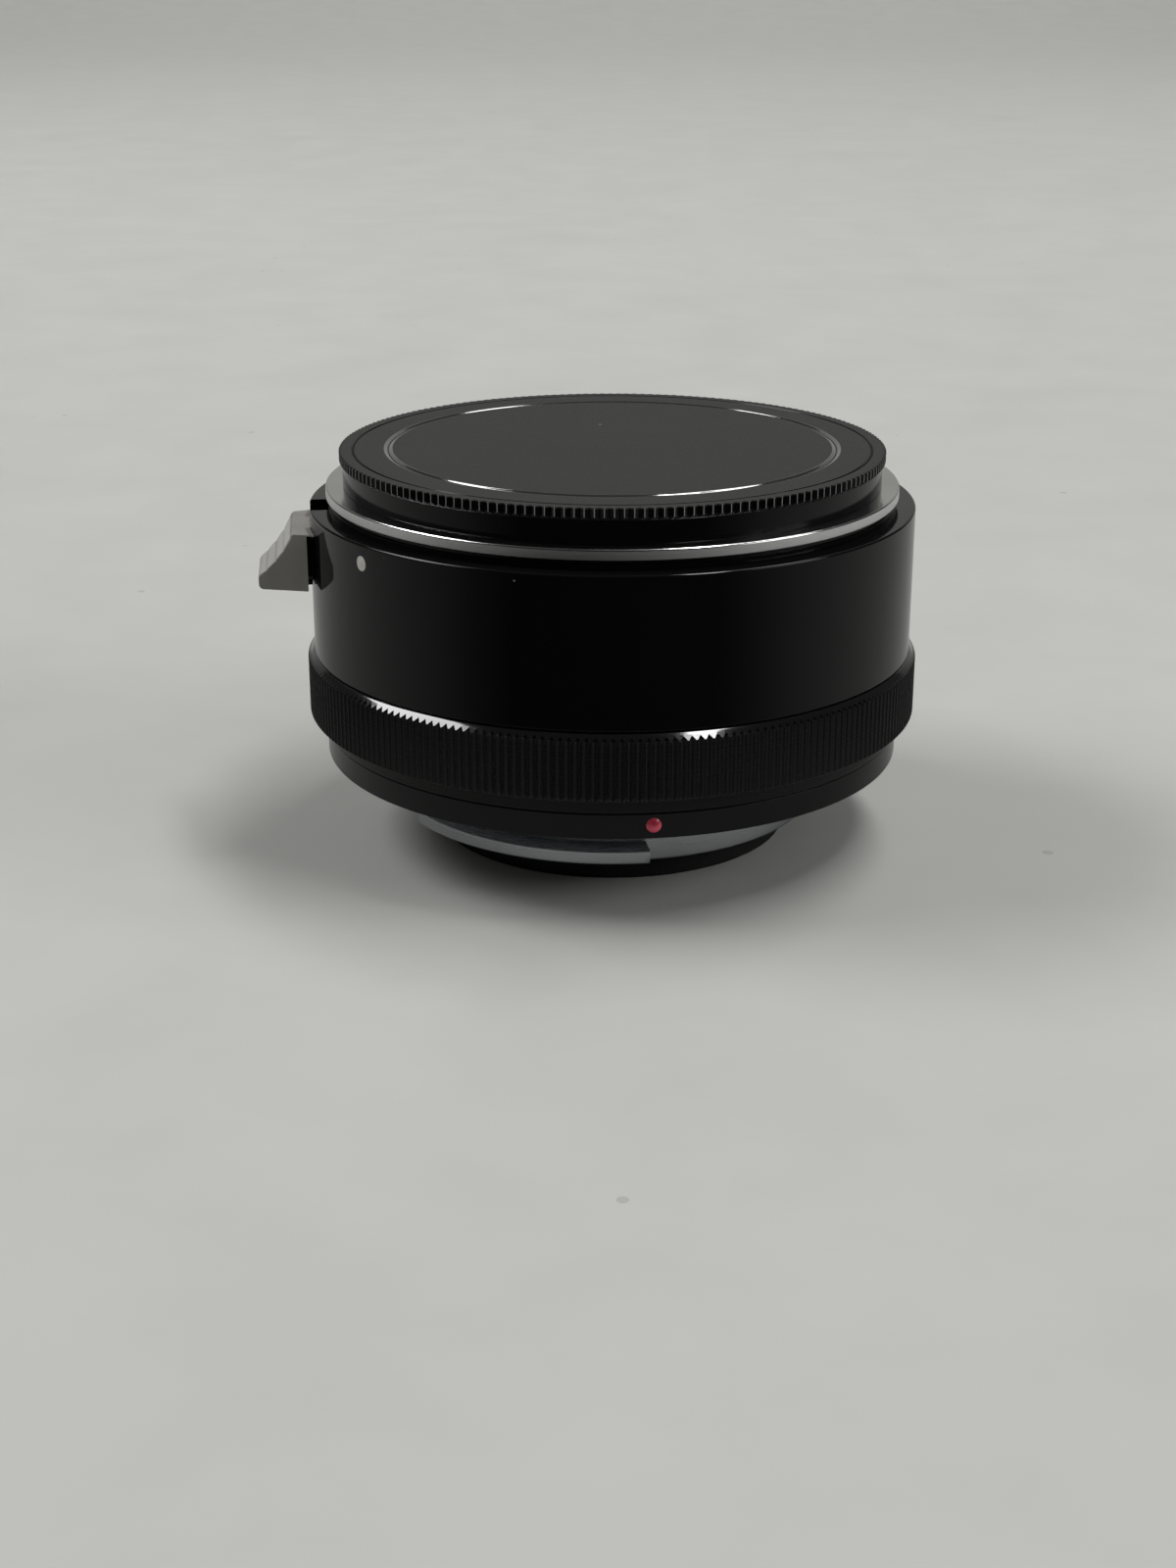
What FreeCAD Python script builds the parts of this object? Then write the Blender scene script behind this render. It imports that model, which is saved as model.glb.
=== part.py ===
import FreeCAD, Part
import Sketcher
import math
import os
from FreeCAD import Placement, Rotation, Vector

# An automatic extension tube for close-up work, 30 mm long, with a cap on its lens side.
# Z runs along the optical axis from the camera to the lens, and Z = 0 is the seat that meets the camera.
# Every angle is counted about Z from the release lever, and one turn of the whole tube puts the lever
# where it belongs.

# The driving sizes, in millimetres, degrees and counts
SIZES = {
    # Light path and inner tube
    "light_bore_radius": 17.6,
    "inner_tube_wall": 1.75,
    "trap_depth": 0.5,
    "trap_width": 0.7,
    "trap_pitch": 1.35,
    "trap_margin": 1.6,
    "tube_flange_thickness": 1.2,
    "tube_flange_gap": 0.4,
    "tube_top_gap": 0.3,
    "tube_spigot_wall": 1.0,
    "tube_spigot_length": 1.4,
    "tube_step_drop": 0.6,
    "tube_screw_count": 3,
    "tube_screw_radius": 0.6,
    "tube_screw_head_radius": 1.05,
    "tube_screw_head_height": 0.55,
    "tube_screw_bite": 0.9,
    # Diaphragm coupling
    "thrust_rise": 0.65,
    "thrust_height": 1.4,
    "arm_inner_gap": 0.4,
    "arm_thickness": 0.6,
    "arm_outer_gap": 0.3,
    "arm_slot_gap": 0.3,
    "arm_sweep": 6.0,
    "arm_foot_sweep": 13.0,
    "front_arm_angle": 200.0,
    "front_arm_drop": 2.6,
    "rear_arm_angle": 233.5,
    "rear_arm_rise": 1.6,
    "coupling_travel": 18.0,
    "slot_end_gap": 3.0,
    "ring_running_gap": 0.1,
    "ring_end_gap": 0.05,
    "ring_height": 1.95,
    "ring_wall": 3.4,
    "ring_edge": 0.2,
    "ear_angle": 150.0,
    "ear_sweep": 8.0,
    "ear_rise": 1.9,
    "rivet_radius": 0.5,
    "rivet_head_radius": 0.85,
    "rivet_head_height": 0.3,
    "rivet_inset": 0.9,
    "rivet_half_spacing": 3.2,
    "clip_thickness": 0.54,
    "clip_depth": 0.45,
    "clip_rise": 0.75,
    "clip_side_gap": 0.03,
    "clip_opening": 30.0,
    "post_radius": 0.7,
    "post_tenon_radius": 0.5,
    "post_tenon_length": 1.6,
    "post_height": 3.2,
    "post_angle": 115.0,
    "post_inset": 2.6,
    "hook_height": 2.0,
    "hook_groove": 0.2,
    "coil_radius": 1.0,
    "coil_wire_radius": 0.16,
    "coil_turns": 12,
    "coil_pitch": 0.5,
    # Camera-side bayonet
    "bayonet_tube_wall": 1.0,
    "bayonet_flange_thickness": 1.4,
    "lug_count": 3,
    "lug_rise": 2.0,
    "lug_sweep": 68.0,
    "lug_angle": 58.5,
    "short_lug_sweep": 50.0,
    "short_lug_lead": 8.0,
    "lug_drop": 3.5,
    "lug_thickness": 1.5,
    "lug_edge": 0.2,
    "tube_end_drop": 0.4,
    "seat_rim": 4.7,
    "seat_edge": 0.15,
    "lock_slot_radius": 1.1,
    "baffle_depth": 8.6,
    "baffle_edge": 0.3,
    # Black ring round the camera-side seat
    "seat_ring_setback": 0.65,
    "seat_ring_floor": 2.0,
    "seat_ring_rim": 2.42,
    "seat_ring_edge": 0.15,
    "seat_groove_depth": 0.32,
    "seat_groove_height": 0.15,
    # Barrel and grip
    "land_height": 3.0,
    "barrel_wall": 2.6,
    "barrel_edge": 0.3,
    "barrel_foot_edge": 0.12,
    "barrel_step": 1.82,
    "shoulder_thickness": 2.6,
    "foot_step": 1.5,
    "grip_fit": 0.02,
    "grip_bottom_gap": 0.05,
    "grip_top_gap": 0.1,
    "grip_collar_height": 1.65,
    "grip_collar_step": 0.6,
    "grip_rib_band": 6.3,
    "grip_rise": 0.75,
    "grip_bottom_edge": 0.35,
    "grip_rib_count": 240,
    "grip_rib_depth": 0.43,
    # Lens-side bayonet
    "extension": 30.0,
    "flange_thickness": 1.1,
    "flange_edge": 0.15,
    "flange_rim": 3.68,
    "flange_bore_gap": 0.3,
    "claw_gap": 0.4,
    "claw_side_gap": 2.0,
    "claw_setback": 1.5,
    "claw_thickness": 1.8,
    "collar_wall": 0.7,
    "collar_fit": 0.05,
    "spring_ring_thickness": 0.3,
    "spring_ledge": 0.65,
    "finger_inner_gap": 0.4,
    "finger_outer_gap": 0.4,
    "finger_margin": 6.0,
    "finger_root_sweep": 7.0,
    "spacer_thickness": 1.0,
    "spacer_setback": 0.28,
    "spacer_line_depth": 0.15,
    "spacer_line_height": 0.12,
    # Countersunk screws that hold the two mounts
    "screw_count": 5,
    "screw_angle": 36.0,
    "screw_margin": 1.7,
    "screw_radius": 0.95,
    "screw_gap": 0.05,
    "screw_head_radius": 1.55,
    "screw_head_height": 0.6,
    "screw_recess": 0.05,
    "screw_end_gap": 0.4,
    "cross_reach": 0.85,
    "cross_half_width": 0.17,
    "cross_depth": 0.4,
    # Index marks
    "mark_radius": 0.77,
    "mark_fit": 0.02,
    "white_mark_angle": 32.6,
    "white_mark_drop": 1.95,
    "white_mark_depth": 0.35,
    "white_mark_dome": 0.04,
    "red_mark_angle": 90.7,
    "red_mark_height": 2.1,
    "red_mark_depth": 0.4,
    "red_mark_dome": 0.32,
    # Lens release lever
    "lever_angle": 186.5,
    "lever_travel": 2.5,
    "lever_standoff": 0.8,
    "lever_width": 10.8,
    "lever_toe_width": 7.8,
    "lever_height": 6.2,
    "lever_drop": 1.84,
    "lever_top_reach": 1.2,
    "lever_bottom_reach": 4.77,
    "lever_toe_height": 1.5,
    "lever_toe_radius": 0.5,
    "lever_edge": 0.25,
    "lever_lip": 0.2,
    "ridge_count": 3,
    "ridge_depth": 0.22,
    "ridge_width": 0.5,
    "ridge_first": 0.22,
    "ridge_step": 0.26,
    "slide_plate_gap": 0.15,
    "slide_plate_sweep": 16.2,
    "slide_plate_rise": 0.3,
    "slide_plate_corner": 0.9,
    "slide_plate_half_width": 4.65,
    "stem_width": 4.6,
    "stem_height": 2.4,
    "stem_drop": 1.26,
    "stem_fit": 0.05,
    "slot_width": 5.0,
    "slot_bottom_gap": 0.2,
    "slot_shelf": 0.5,
    "carrier_width": 10.0,
    "carrier_thickness": 0.8,
    "carrier_wall_gap": 0.8,
    "carrier_depth": 3.7,
    "carrier_top_gap": 0.1,
    "ledge_reach": 2.6,
    "ledge_thickness": 1.0,
    "pin_setback": 1.7,
    "pin_radius": 0.7,
    "pin_fit": 0.02,
    "pin_guide_gap": 0.05,
    "pin_foot_radius": 0.95,
    "pin_foot_height": 0.6,
    "pin_reach": 0.9,
    "pin_edge": 0.2,
    "rod_radius": 0.7,
    "rod_half_spacing": 3.4,
    "rod_head_radius": 1.45,
    "rod_head_height": 0.8,
    "rod_length": 11.2,
    "return_coil_radius": 1.12,
    "return_wire_radius": 0.15,
    "return_coil_turns": 9,
    "lever_screw_radius": 0.5,
    "lever_screw_head_radius": 0.85,
    "lever_screw_head_height": 0.5,
    "lever_screw_half_spacing": 1.25,
    "lever_screw_bite": 1.8,
    "lever_screw_drop": 1.0,
    # Cap
    "cap_height": 3.62,
    "cap_roof": 1.52,
    "cap_skirt_inset": 1.88,
    "cap_skirt_wall": 1.2,
    "cap_skirt_edge": 0.1,
    "cap_rim_height": 0.9,
    "cap_rim_edge": 0.12,
    "cap_rib_count": 190,
    "cap_rib_depth": 0.3,
    "cap_rib_step": 0.04,
    "cap_line_inset": 1.5,
    "cap_line_width": 0.2,
    "cap_line_depth": 0.12,
    "cap_groove_inset": 4.91,
    "cap_groove_width": 0.68,
    "cap_groove_depth": 0.5,
    "cap_lip_radius": 0.25,
    "cap_disc_rise": 0.03,
    "cap_lug_ease": 10.0,
    "cap_lug_gap": 0.2,
    "cap_lug_thickness": 1.3,
}

document = FreeCAD.newDocument("ExtensionTube")
sheet = document.addObject("Spreadsheet::Sheet", "Sizes")
for row, (alias, number) in enumerate(SIZES.items(), start=1):
    sheet.set(f"A{row}", alias)
    sheet.set(f"B{row}", str(number))
    sheet.setAlias(f"B{row}", alias)
document.recompute()


# A size keeps its number and its formula, so sums of sizes give both.
class Size:
    def __init__(self, number, formula):
        self.number = number
        self.formula = formula

    def __add__(self, other):
        other = as_size(other)
        return Size(self.number + other.number, f"({self.formula} + {other.formula})")

    def __radd__(self, other):
        return as_size(other) + self

    def __sub__(self, other):
        other = as_size(other)
        return Size(self.number - other.number, f"({self.formula} - {other.formula})")

    def __rsub__(self, other):
        return as_size(other) - self

    def __mul__(self, other):
        other = as_size(other)
        return Size(self.number * other.number, f"({self.formula} * {other.formula})")

    def __rmul__(self, other):
        return as_size(other) * self

    def __truediv__(self, other):
        other = as_size(other)
        return Size(self.number / other.number, f"({self.formula} / {other.formula})")

    def __neg__(self):
        return Size(-self.number, f"(-1 * {self.formula})")


def as_size(value):
    return value if isinstance(value, Size) else Size(float(value), str(value))


class Sheet:
    def __getattr__(self, alias):
        return Size(float(SIZES[alias]), f"Sizes.{alias}")


size = Sheet()
zero = as_size(0)
full_turn = as_size(360)

# Radii, from the light path outwards
tube_radius = size.light_bore_radius + size.inner_tube_wall
thrust_radius = tube_radius + size.thrust_rise
arm_inner = thrust_radius + size.arm_inner_gap
arm_outer = arm_inner + size.arm_thickness
bayonet_bore = arm_outer + size.arm_outer_gap
bayonet_radius = bayonet_bore + size.bayonet_tube_wall
lug_radius = bayonet_radius + size.lug_rise
claw_radius = bayonet_radius + size.claw_gap
flange_bore = lug_radius + size.flange_bore_gap
collar_radius = flange_bore + size.collar_wall
shoulder_bore = collar_radius + size.collar_fit
screw_circle = collar_radius + size.screw_margin
land_bore = collar_radius
seat_radius = lug_radius + size.seat_rim
seat_ring_radius = seat_radius + size.seat_ring_rim
flange_radius = screw_circle + size.flange_rim
spacer_radius = flange_radius - size.spacer_setback
barrel_radius = flange_radius + size.barrel_step
barrel_bore = barrel_radius - size.barrel_wall
foot_radius = barrel_radius - size.foot_step
grip_radius = barrel_radius + size.grip_rise
grip_bore = foot_radius + size.grip_fit
ring_bore = tube_radius + size.ring_running_gap
ring_radius = ring_bore + size.ring_wall
ear_radius = ring_radius + size.ear_rise
ear_pin_circle = ear_radius - size.ear_rise / 2
post_circle = barrel_bore - size.post_inset
tube_flange_radius = land_bore - size.tube_flange_gap
tube_screw_circle = bayonet_radius + size.tube_screw_head_radius

# Heights, up from the camera-side seat
flange_top = size.bayonet_flange_thickness
barrel_bottom = flange_top + size.seat_ring_floor
land_top = barrel_bottom + size.land_height
lug_top = -size.lug_drop
lug_bottom = lug_top - size.lug_thickness
bayonet_end = lug_bottom - size.tube_end_drop
baffle_bottom = -size.baffle_depth
baffle_top = -size.tube_step_drop
spigot_bottom = baffle_top - size.tube_spigot_length
tube_flange_top = flange_top + size.tube_flange_thickness
thrust_top = tube_flange_top + size.thrust_height
ring_bottom = thrust_top + size.ring_end_gap
ring_top = ring_bottom + size.ring_height
clip_groove_bottom = ring_top + size.ring_end_gap
clip_groove_top = clip_groove_bottom + size.clip_thickness + 2 * size.clip_side_gap
grip_bottom = barrel_bottom + size.grip_bottom_gap
rib_bottom = grip_bottom + size.grip_collar_height
rib_top = rib_bottom + size.grip_rib_band
grip_top = rib_top + size.grip_rise
barrel_step = grip_top + size.grip_top_gap

# Heights, down from the lens-side seat
front_seat = size.extension
spacer_top = front_seat - size.flange_thickness
barrel_top = spacer_top - size.spacer_thickness
shoulder_bottom = barrel_top - size.shoulder_thickness
claw_top = front_seat - size.claw_setback
claw_bottom = claw_top - size.claw_thickness
ledge_top = claw_bottom - size.spring_ring_thickness
tube_top = shoulder_bottom - size.tube_top_gap
cap_seat = front_seat
cap_top = cap_seat + size.cap_height
cap_recess = cap_top - size.cap_groove_depth
cap_ceiling = cap_recess - size.cap_roof
cap_lug_bottom = front_seat - size.lug_drop - size.lug_thickness
cap_lug_top = cap_lug_bottom + size.cap_lug_thickness

parts = {}


def origin_plane(body, role):
    return next(plane for plane in body.Origin.OriginFeatures if plane.Role == role)


def new_body(name, several=False, turned=True):
    """A body whose local X axis points at the release lever."""
    body = document.addObject("PartDesign::Body", name)
    body.Label = name
    body.AllowCompound = several
    if turned:
        turn_with_tube(body)
    return body


def turn_with_tube(thing):
    thing.Placement = Placement(Vector(), Rotation(Vector(0, 0, 1), size.lever_angle.number))
    thing.setExpression("Placement.Rotation.Angle", size.lever_angle.formula)


def upright_sketch(body, name, angle=None, height=None, sideways=None):
    """A sketch in the plane through the optical axis, turned to an angle, lifted or moved sideways."""
    sketch = body.newObject("Sketcher::SketchObject", name)
    sketch.AttachmentSupport = [(origin_plane(body, "XZ_Plane"), "")]
    sketch.MapMode = "FlatFace"
    turn = Rotation(Vector(0, 1, 0), angle.number) if angle else Rotation()
    sketch.AttachmentOffset = Placement(Vector(), turn)
    if angle:
        sketch.setExpression("AttachmentOffset.Rotation.Angle", angle.formula)
    if height:
        sketch.setExpression("AttachmentOffset.Base.y", height.formula)
    if sideways:
        sketch.setExpression("AttachmentOffset.Base.z", sideways.formula)
    return sketch


def flat_sketch(body, name, height, angle=None):
    """A sketch square to the optical axis at a height."""
    sketch = body.newObject("Sketcher::SketchObject", name)
    sketch.AttachmentSupport = [(origin_plane(body, "XY_Plane"), "")]
    sketch.MapMode = "FlatFace"
    turn = Rotation(Vector(0, 0, 1), angle.number) if angle else Rotation()
    sketch.AttachmentOffset = Placement(Vector(0, 0, height.number), turn)
    sketch.setExpression("AttachmentOffset.Base.z", height.formula)
    if angle:
        sketch.setExpression("AttachmentOffset.Rotation.Angle", angle.formula)
    return sketch


def hold_point(sketch, edge, end, corner, name):
    """Tie one end of an edge to the two sizes of its corner."""
    for axis, value in (("DistanceX", corner[0]), ("DistanceY", corner[1])):
        index = sketch.addConstraint(Sketcher.Constraint(axis, edge, end, value.number))
        sketch.renameConstraint(index, f"{name}{axis}")
        sketch.setExpression(f"Constraints.{name}{axis}", value.formula)


def arc_between(start, end, radius):
    """A short arc, bulging to the right of the way from start to end."""
    chord = end - start
    reach = chord.Length / 2
    sagitta = radius - math.sqrt(max(radius ** 2 - reach ** 2, 0))
    right = Vector(chord.y, -chord.x, 0).normalize()
    return Part.Arc(start, (start + end) / 2 + right * sagitta, end)


def draw_outline(sketch, corners, name="corner"):
    """A closed outline; a corner with a third size starts an arc of that radius."""
    corners = [tuple(as_size(value) for value in corner) for corner in corners]
    points = [Vector(corner[0].number, corner[1].number, 0) for corner in corners]
    ends = []
    for place, corner in enumerate(corners):
        start = points[place]
        end = points[(place + 1) % len(points)]
        if len(corner) == 3:
            edge = sketch.addGeometry(arc_between(start, end, corner[2].number), False)
            ends.append((edge, 1, 2))
            index = sketch.addConstraint(Sketcher.Constraint("Radius", edge, corner[2].number))
            sketch.renameConstraint(index, f"{name}{place}Radius")
            sketch.setExpression(f"Constraints.{name}{place}Radius", corner[2].formula)
        else:
            edge = sketch.addGeometry(Part.LineSegment(start, end), False)
            ends.append((edge, 1, 2))
    for place, (edge, first, last) in enumerate(ends):
        following = ends[(place + 1) % len(ends)]
        sketch.addConstraint(Sketcher.Constraint("Coincident", edge, last, following[0], following[1]))
        hold_point(sketch, edge, first, corners[place], f"{name}{place}")


def draw_own_axis(sketch, distance):
    """An upright construction line for what turns about an axis of its own."""
    bottom = Vector(distance.number, 0, 0)
    line = sketch.addGeometry(Part.LineSegment(bottom, bottom + Vector(0, 1, 0)), True)
    hold_point(sketch, line, 1, (distance, zero), "axisBottom")
    hold_point(sketch, line, 2, (distance, as_size(1)), "axisTop")


def turned(body, name, corners, angle=None, sweep=None, cut=False, own_axis=None, sideways=None):
    """Turn an outline about the optical axis, or about an axis of its own."""
    sketch = upright_sketch(body, f"{name}Outline", angle, sideways=sideways)
    draw_outline(sketch, corners)
    if own_axis:
        draw_own_axis(sketch, own_axis)
    feature = body.newObject("PartDesign::Groove" if cut else "PartDesign::Revolution", name)
    feature.Profile = sketch
    feature.ReferenceAxis = (sketch, ["Axis0"] if own_axis else ["V_Axis"])
    feature.Angle = sweep.number if sweep else full_turn.number
    if sweep:
        feature.Midplane = True
        feature.setExpression("Angle", sweep.formula)
    return feature


def turned_across(body, name, corners, angle, height, cut=False):
    """Turn an outline about a line square to the optical axis, as for a mark or its pit."""
    sketch = upright_sketch(body, f"{name}Outline", angle, height)
    draw_outline(sketch, corners)
    feature = body.newObject("PartDesign::Groove" if cut else "PartDesign::Revolution", name)
    feature.Profile = sketch
    feature.ReferenceAxis = (sketch, ["H_Axis"])
    feature.Angle = full_turn.number
    return feature


def side_cut(body, name, corners, width, cut=False):
    """An outline seen from the side, made equally wide to both sides."""
    sketch = upright_sketch(body, f"{name}Outline")
    draw_outline(sketch, corners)
    feature = body.newObject("PartDesign::Pocket" if cut else "PartDesign::Pad", name)
    feature.Profile = sketch
    feature.Midplane = True
    feature.Length = width.number
    feature.setExpression("Length", width.formula)
    return feature


def around(body, name, features, count):
    """Repeat features evenly round the optical axis."""
    pattern = body.newObject("PartDesign::PolarPattern", name)
    pattern.Originals = features
    pattern.Axis = (origin_plane(body, "Z_Axis"), [""])
    pattern.Angle = full_turn.number
    pattern.Occurrences = int(count.number)
    pattern.setExpression("Occurrences", count.formula)
    body.Tip = pattern
    return pattern


def mirrored(body, name, features):
    """Repeat features on the other side of the plane through the lever."""
    mirror = body.newObject("PartDesign::Mirrored", name)
    mirror.Originals = features
    mirror.MirrorPlane = (origin_plane(body, "XZ_Plane"), [""])
    body.Tip = mirror
    return mirror


def keep(name, thing):
    thing.Label = name
    parts[name] = thing


def screw_hole(body, name, circle, radius, bottom, top, angle=size.screw_angle):
    """A plain round hole along Z."""
    outline = [
        (circle, bottom),
        (circle + radius, bottom),
        (circle + radius, top),
        (circle, top),
    ]
    return turned(body, name, outline, angle=angle, cut=True, own_axis=circle)


def countersink(body, name, face, inwards, angle=size.screw_angle):
    """The cone for a screw's head; inwards is 1 where the head faces down and -1 where it faces up."""
    hole = size.screw_radius + size.screw_gap
    mouth = size.screw_head_radius + size.screw_gap
    outline = [
        (screw_circle, face - inwards * size.screw_gap),
        (screw_circle + mouth, face - inwards * size.screw_gap),
        (screw_circle + mouth, face + inwards * size.screw_recess),
        (screw_circle + hole, face + inwards * (size.screw_recess + size.screw_head_height)),
        (screw_circle, face + inwards * (size.screw_recess + size.screw_head_height)),
    ]
    return turned(body, name, outline, angle=angle, cut=True, own_axis=screw_circle)


def mount_screws(name, face, end, inwards):
    """Countersunk cross-head screws in a circle, as separate solids."""
    body = new_body(name, several=True)
    head = face + inwards * size.screw_recess
    outline = [
        (screw_circle, head),
        (screw_circle + size.screw_head_radius, head),
        (screw_circle + size.screw_radius, head + inwards * size.screw_head_height),
        (screw_circle + size.screw_radius, end),
        (screw_circle, end),
    ]
    shank = turned(body, f"{name}_shank", outline, angle=size.screw_angle, own_axis=screw_circle)
    recess = cross_recess(body, f"{name}_cross", head, screw_circle, size.cross_reach, inwards)
    around(body, f"{name}_circle", [shank, recess], size.screw_count)
    keep(name, body)


def cross_recess(body, name, face, circle, reach, inwards, angle=size.screw_angle):
    """The cross in a screw's head."""
    sketch = flat_sketch(body, f"{name}Outline", face, angle)
    half = size.cross_half_width
    corners = [
        (circle - reach, -half),
        (circle - half, -half),
        (circle - half, -reach),
        (circle + half, -reach),
        (circle + half, -half),
        (circle + reach, -half),
        (circle + reach, half),
        (circle + half, half),
        (circle + half, reach),
        (circle - half, reach),
        (circle - half, half),
        (circle - reach, half),
    ]
    draw_outline(sketch, corners)
    pocket = body.newObject("PartDesign::Pocket", name)
    pocket.Profile = sketch
    pocket.Length = size.cross_depth.number
    pocket.setExpression("Length", size.cross_depth.formula)
    pocket.Reversed = inwards > 0
    return pocket


def ribbed(name, body, tip, depth, count, bottom, top):
    """The body inside a star-shaped prism, which leaves V-shaped ribs round it."""
    points = []
    for step in range(2 * int(count.number)):
        radius = tip.number if step % 2 == 0 else tip.number - depth.number
        angle = math.pi * step / count.number
        points.append(Vector(radius * math.cos(angle), radius * math.sin(angle), bottom.number))
    outline = Part.makePolygon(points + points[:1])
    star = document.addObject("Part::Feature", f"{name}_ribs")
    star.Shape = Part.Face(outline).extrude(Vector(0, 0, top.number - bottom.number))
    ring = document.addObject("Part::MultiCommon", name)
    ring.Shapes = [body, star]
    keep(name, ring)


# Coils are swept along pairs of arcs that meet smoothly.
def arc_round_corner(start, corner, end):
    middle = (start + end) / 2
    rise = (corner - middle).Length
    reach = (end - start).Length / 2
    sagitta = reach * math.tan(math.atan2(rise, reach) / 2)
    return Part.Arc(start, middle + (corner - middle).normalize() * sagitta, end).toShape()


def arc_pair(start, start_way, end, end_way):
    """Two arcs from start to end that leave and arrive in the given directions."""
    span = end - start
    ways = start_way + end_way
    bend = 2 * (1 - start_way.dot(end_way))
    along = span.dot(ways)
    reach = (-along + math.sqrt(along ** 2 + bend * span.dot(span))) / bend
    first_corner = start + start_way * reach
    last_corner = end - end_way * reach
    joint = (first_corner + last_corner) / 2
    return [
        arc_round_corner(start, first_corner, joint),
        arc_round_corner(joint, last_corner, end),
    ]


def coil_point(turns, radius, pitch, base, along, across, sideways):
    """A point of a helix about the line from base along its direction, and the way it runs there."""
    angle = 2 * math.pi * turns
    point = base + along * (pitch * turns)
    point += across * (radius * math.cos(angle)) + sideways * (radius * math.sin(angle))
    way = along * (pitch / (2 * math.pi * radius))
    way += sideways * math.cos(angle) - across * math.sin(angle)
    return point, way.normalize()


def coil_edges(radius, pitch, turns, base, along, across):
    sideways = along.cross(across)
    edges = []
    quarter_turns = int(turns * 4)
    for quarter in range(quarter_turns):
        start, start_way = coil_point(quarter / 4, radius, pitch, base, along, across, sideways)
        end, end_way = coil_point((quarter + 1) / 4, radius, pitch, base, along, across, sideways)
        edges += arc_pair(start, start_way, end, end_way)
    return edges


def wire_solid(edges, way, wire_radius):
    """Round wire along a path that starts in the given direction."""
    start = edges[0].Vertexes[0].Point
    section = Part.Wire([Part.makeCircle(wire_radius, start, way)])
    return Part.Wire(edges).makePipeShell([section], True, False)


# Outer barrel
def make_outer_barrel():
    body = new_body("outer_barrel")
    outline = [
        (land_bore, barrel_bottom),
        (foot_radius, barrel_bottom),
        (foot_radius, barrel_step),
        (barrel_radius - size.barrel_foot_edge, barrel_step),
        (barrel_radius, barrel_step + size.barrel_foot_edge),
        (barrel_radius, barrel_top - size.barrel_edge),
        (barrel_radius - size.barrel_edge, barrel_top),
        (shoulder_bore, barrel_top),
        (shoulder_bore, ledge_top),
        (shoulder_bore - size.spring_ledge, ledge_top),
        (shoulder_bore - size.spring_ledge, shoulder_bottom),
        (barrel_bore, shoulder_bottom),
        (barrel_bore, land_top),
        (land_bore, land_top),
    ]
    turned(body, "barrel_wall_turned", outline)
    # The lever's slot is open to the barrel's end, and a shelf of the shoulder stays behind it.
    slot_foot = stem_bottom - size.lever_travel - size.slot_bottom_gap
    shelf = barrel_bore + size.slot_shelf
    slot = [
        (barrel_bore - size.barrel_wall, slot_foot),
        (grip_radius, slot_foot),
        (grip_radius, front_seat),
        (shelf, front_seat),
        (shelf, shoulder_bottom),
        (barrel_bore - size.barrel_wall, shoulder_bottom),
    ]
    side_cut(body, "lever_slot", slot, size.slot_width, cut=True)
    thread = size.screw_radius + size.pin_fit
    front = screw_hole(body, "front_screw_threads", screw_circle, thread, shoulder_bottom, front_seat)
    rear = screw_hole(body, "rear_screw_threads", screw_circle, thread, zero, land_top + size.screw_gap)
    around(body, "screw_threads", [front, rear], size.screw_count)
    guide = size.pin_radius + size.pin_guide_gap
    screw_hole(body, "lock_pin_bore", pin_circle, guide, shoulder_bottom, front_seat, angle=None)
    rod_fit = size.rod_radius + size.pin_fit
    rod_hole = turned(
        body,
        "rod_hole",
        [
            (pin_circle, shoulder_bottom),
            (pin_circle + rod_fit, shoulder_bottom),
            (pin_circle + rod_fit, front_seat),
            (pin_circle, front_seat),
        ],
        cut=True,
        own_axis=pin_circle,
        sideways=size.rod_half_spacing,
    )
    mirrored(body, "rod_holes", [rod_hole])
    tenon = size.post_tenon_radius + size.pin_fit
    screw_hole(body, "post_hole", post_circle, tenon, post_foot, land_top + size.screw_gap,
               angle=size.post_angle)
    pit = [
        (barrel_radius - size.white_mark_depth, zero),
        (grip_radius, zero),
        (grip_radius, size.mark_radius + size.mark_fit),
        (barrel_radius - size.white_mark_depth, size.mark_radius + size.mark_fit),
    ]
    turned_across(body, "white_mark_pit", pit, size.white_mark_angle, white_mark_height, cut=True)
    keep("outer_barrel", body)


# Grip ring with fine straight ribs
def make_grip_ring():
    body = new_body("grip_ring_blank", turned=False)
    grip_collar_radius = foot_radius + size.grip_collar_step
    outline = [
        (grip_bore, grip_bottom),
        (grip_collar_radius, grip_bottom),
        (grip_collar_radius, rib_bottom),
        (grip_radius - size.grip_bottom_edge, rib_bottom),
        (grip_radius, rib_bottom + size.grip_bottom_edge),
        (grip_radius, rib_top),
        (grip_radius - size.grip_rise, grip_top),
        (grip_bore, grip_top),
    ]
    turned(body, "grip_ring_turned", outline)
    ribbed("grip_ring", body, grip_radius, size.grip_rib_depth, size.grip_rib_count,
           barrel_bottom, front_seat)


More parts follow.
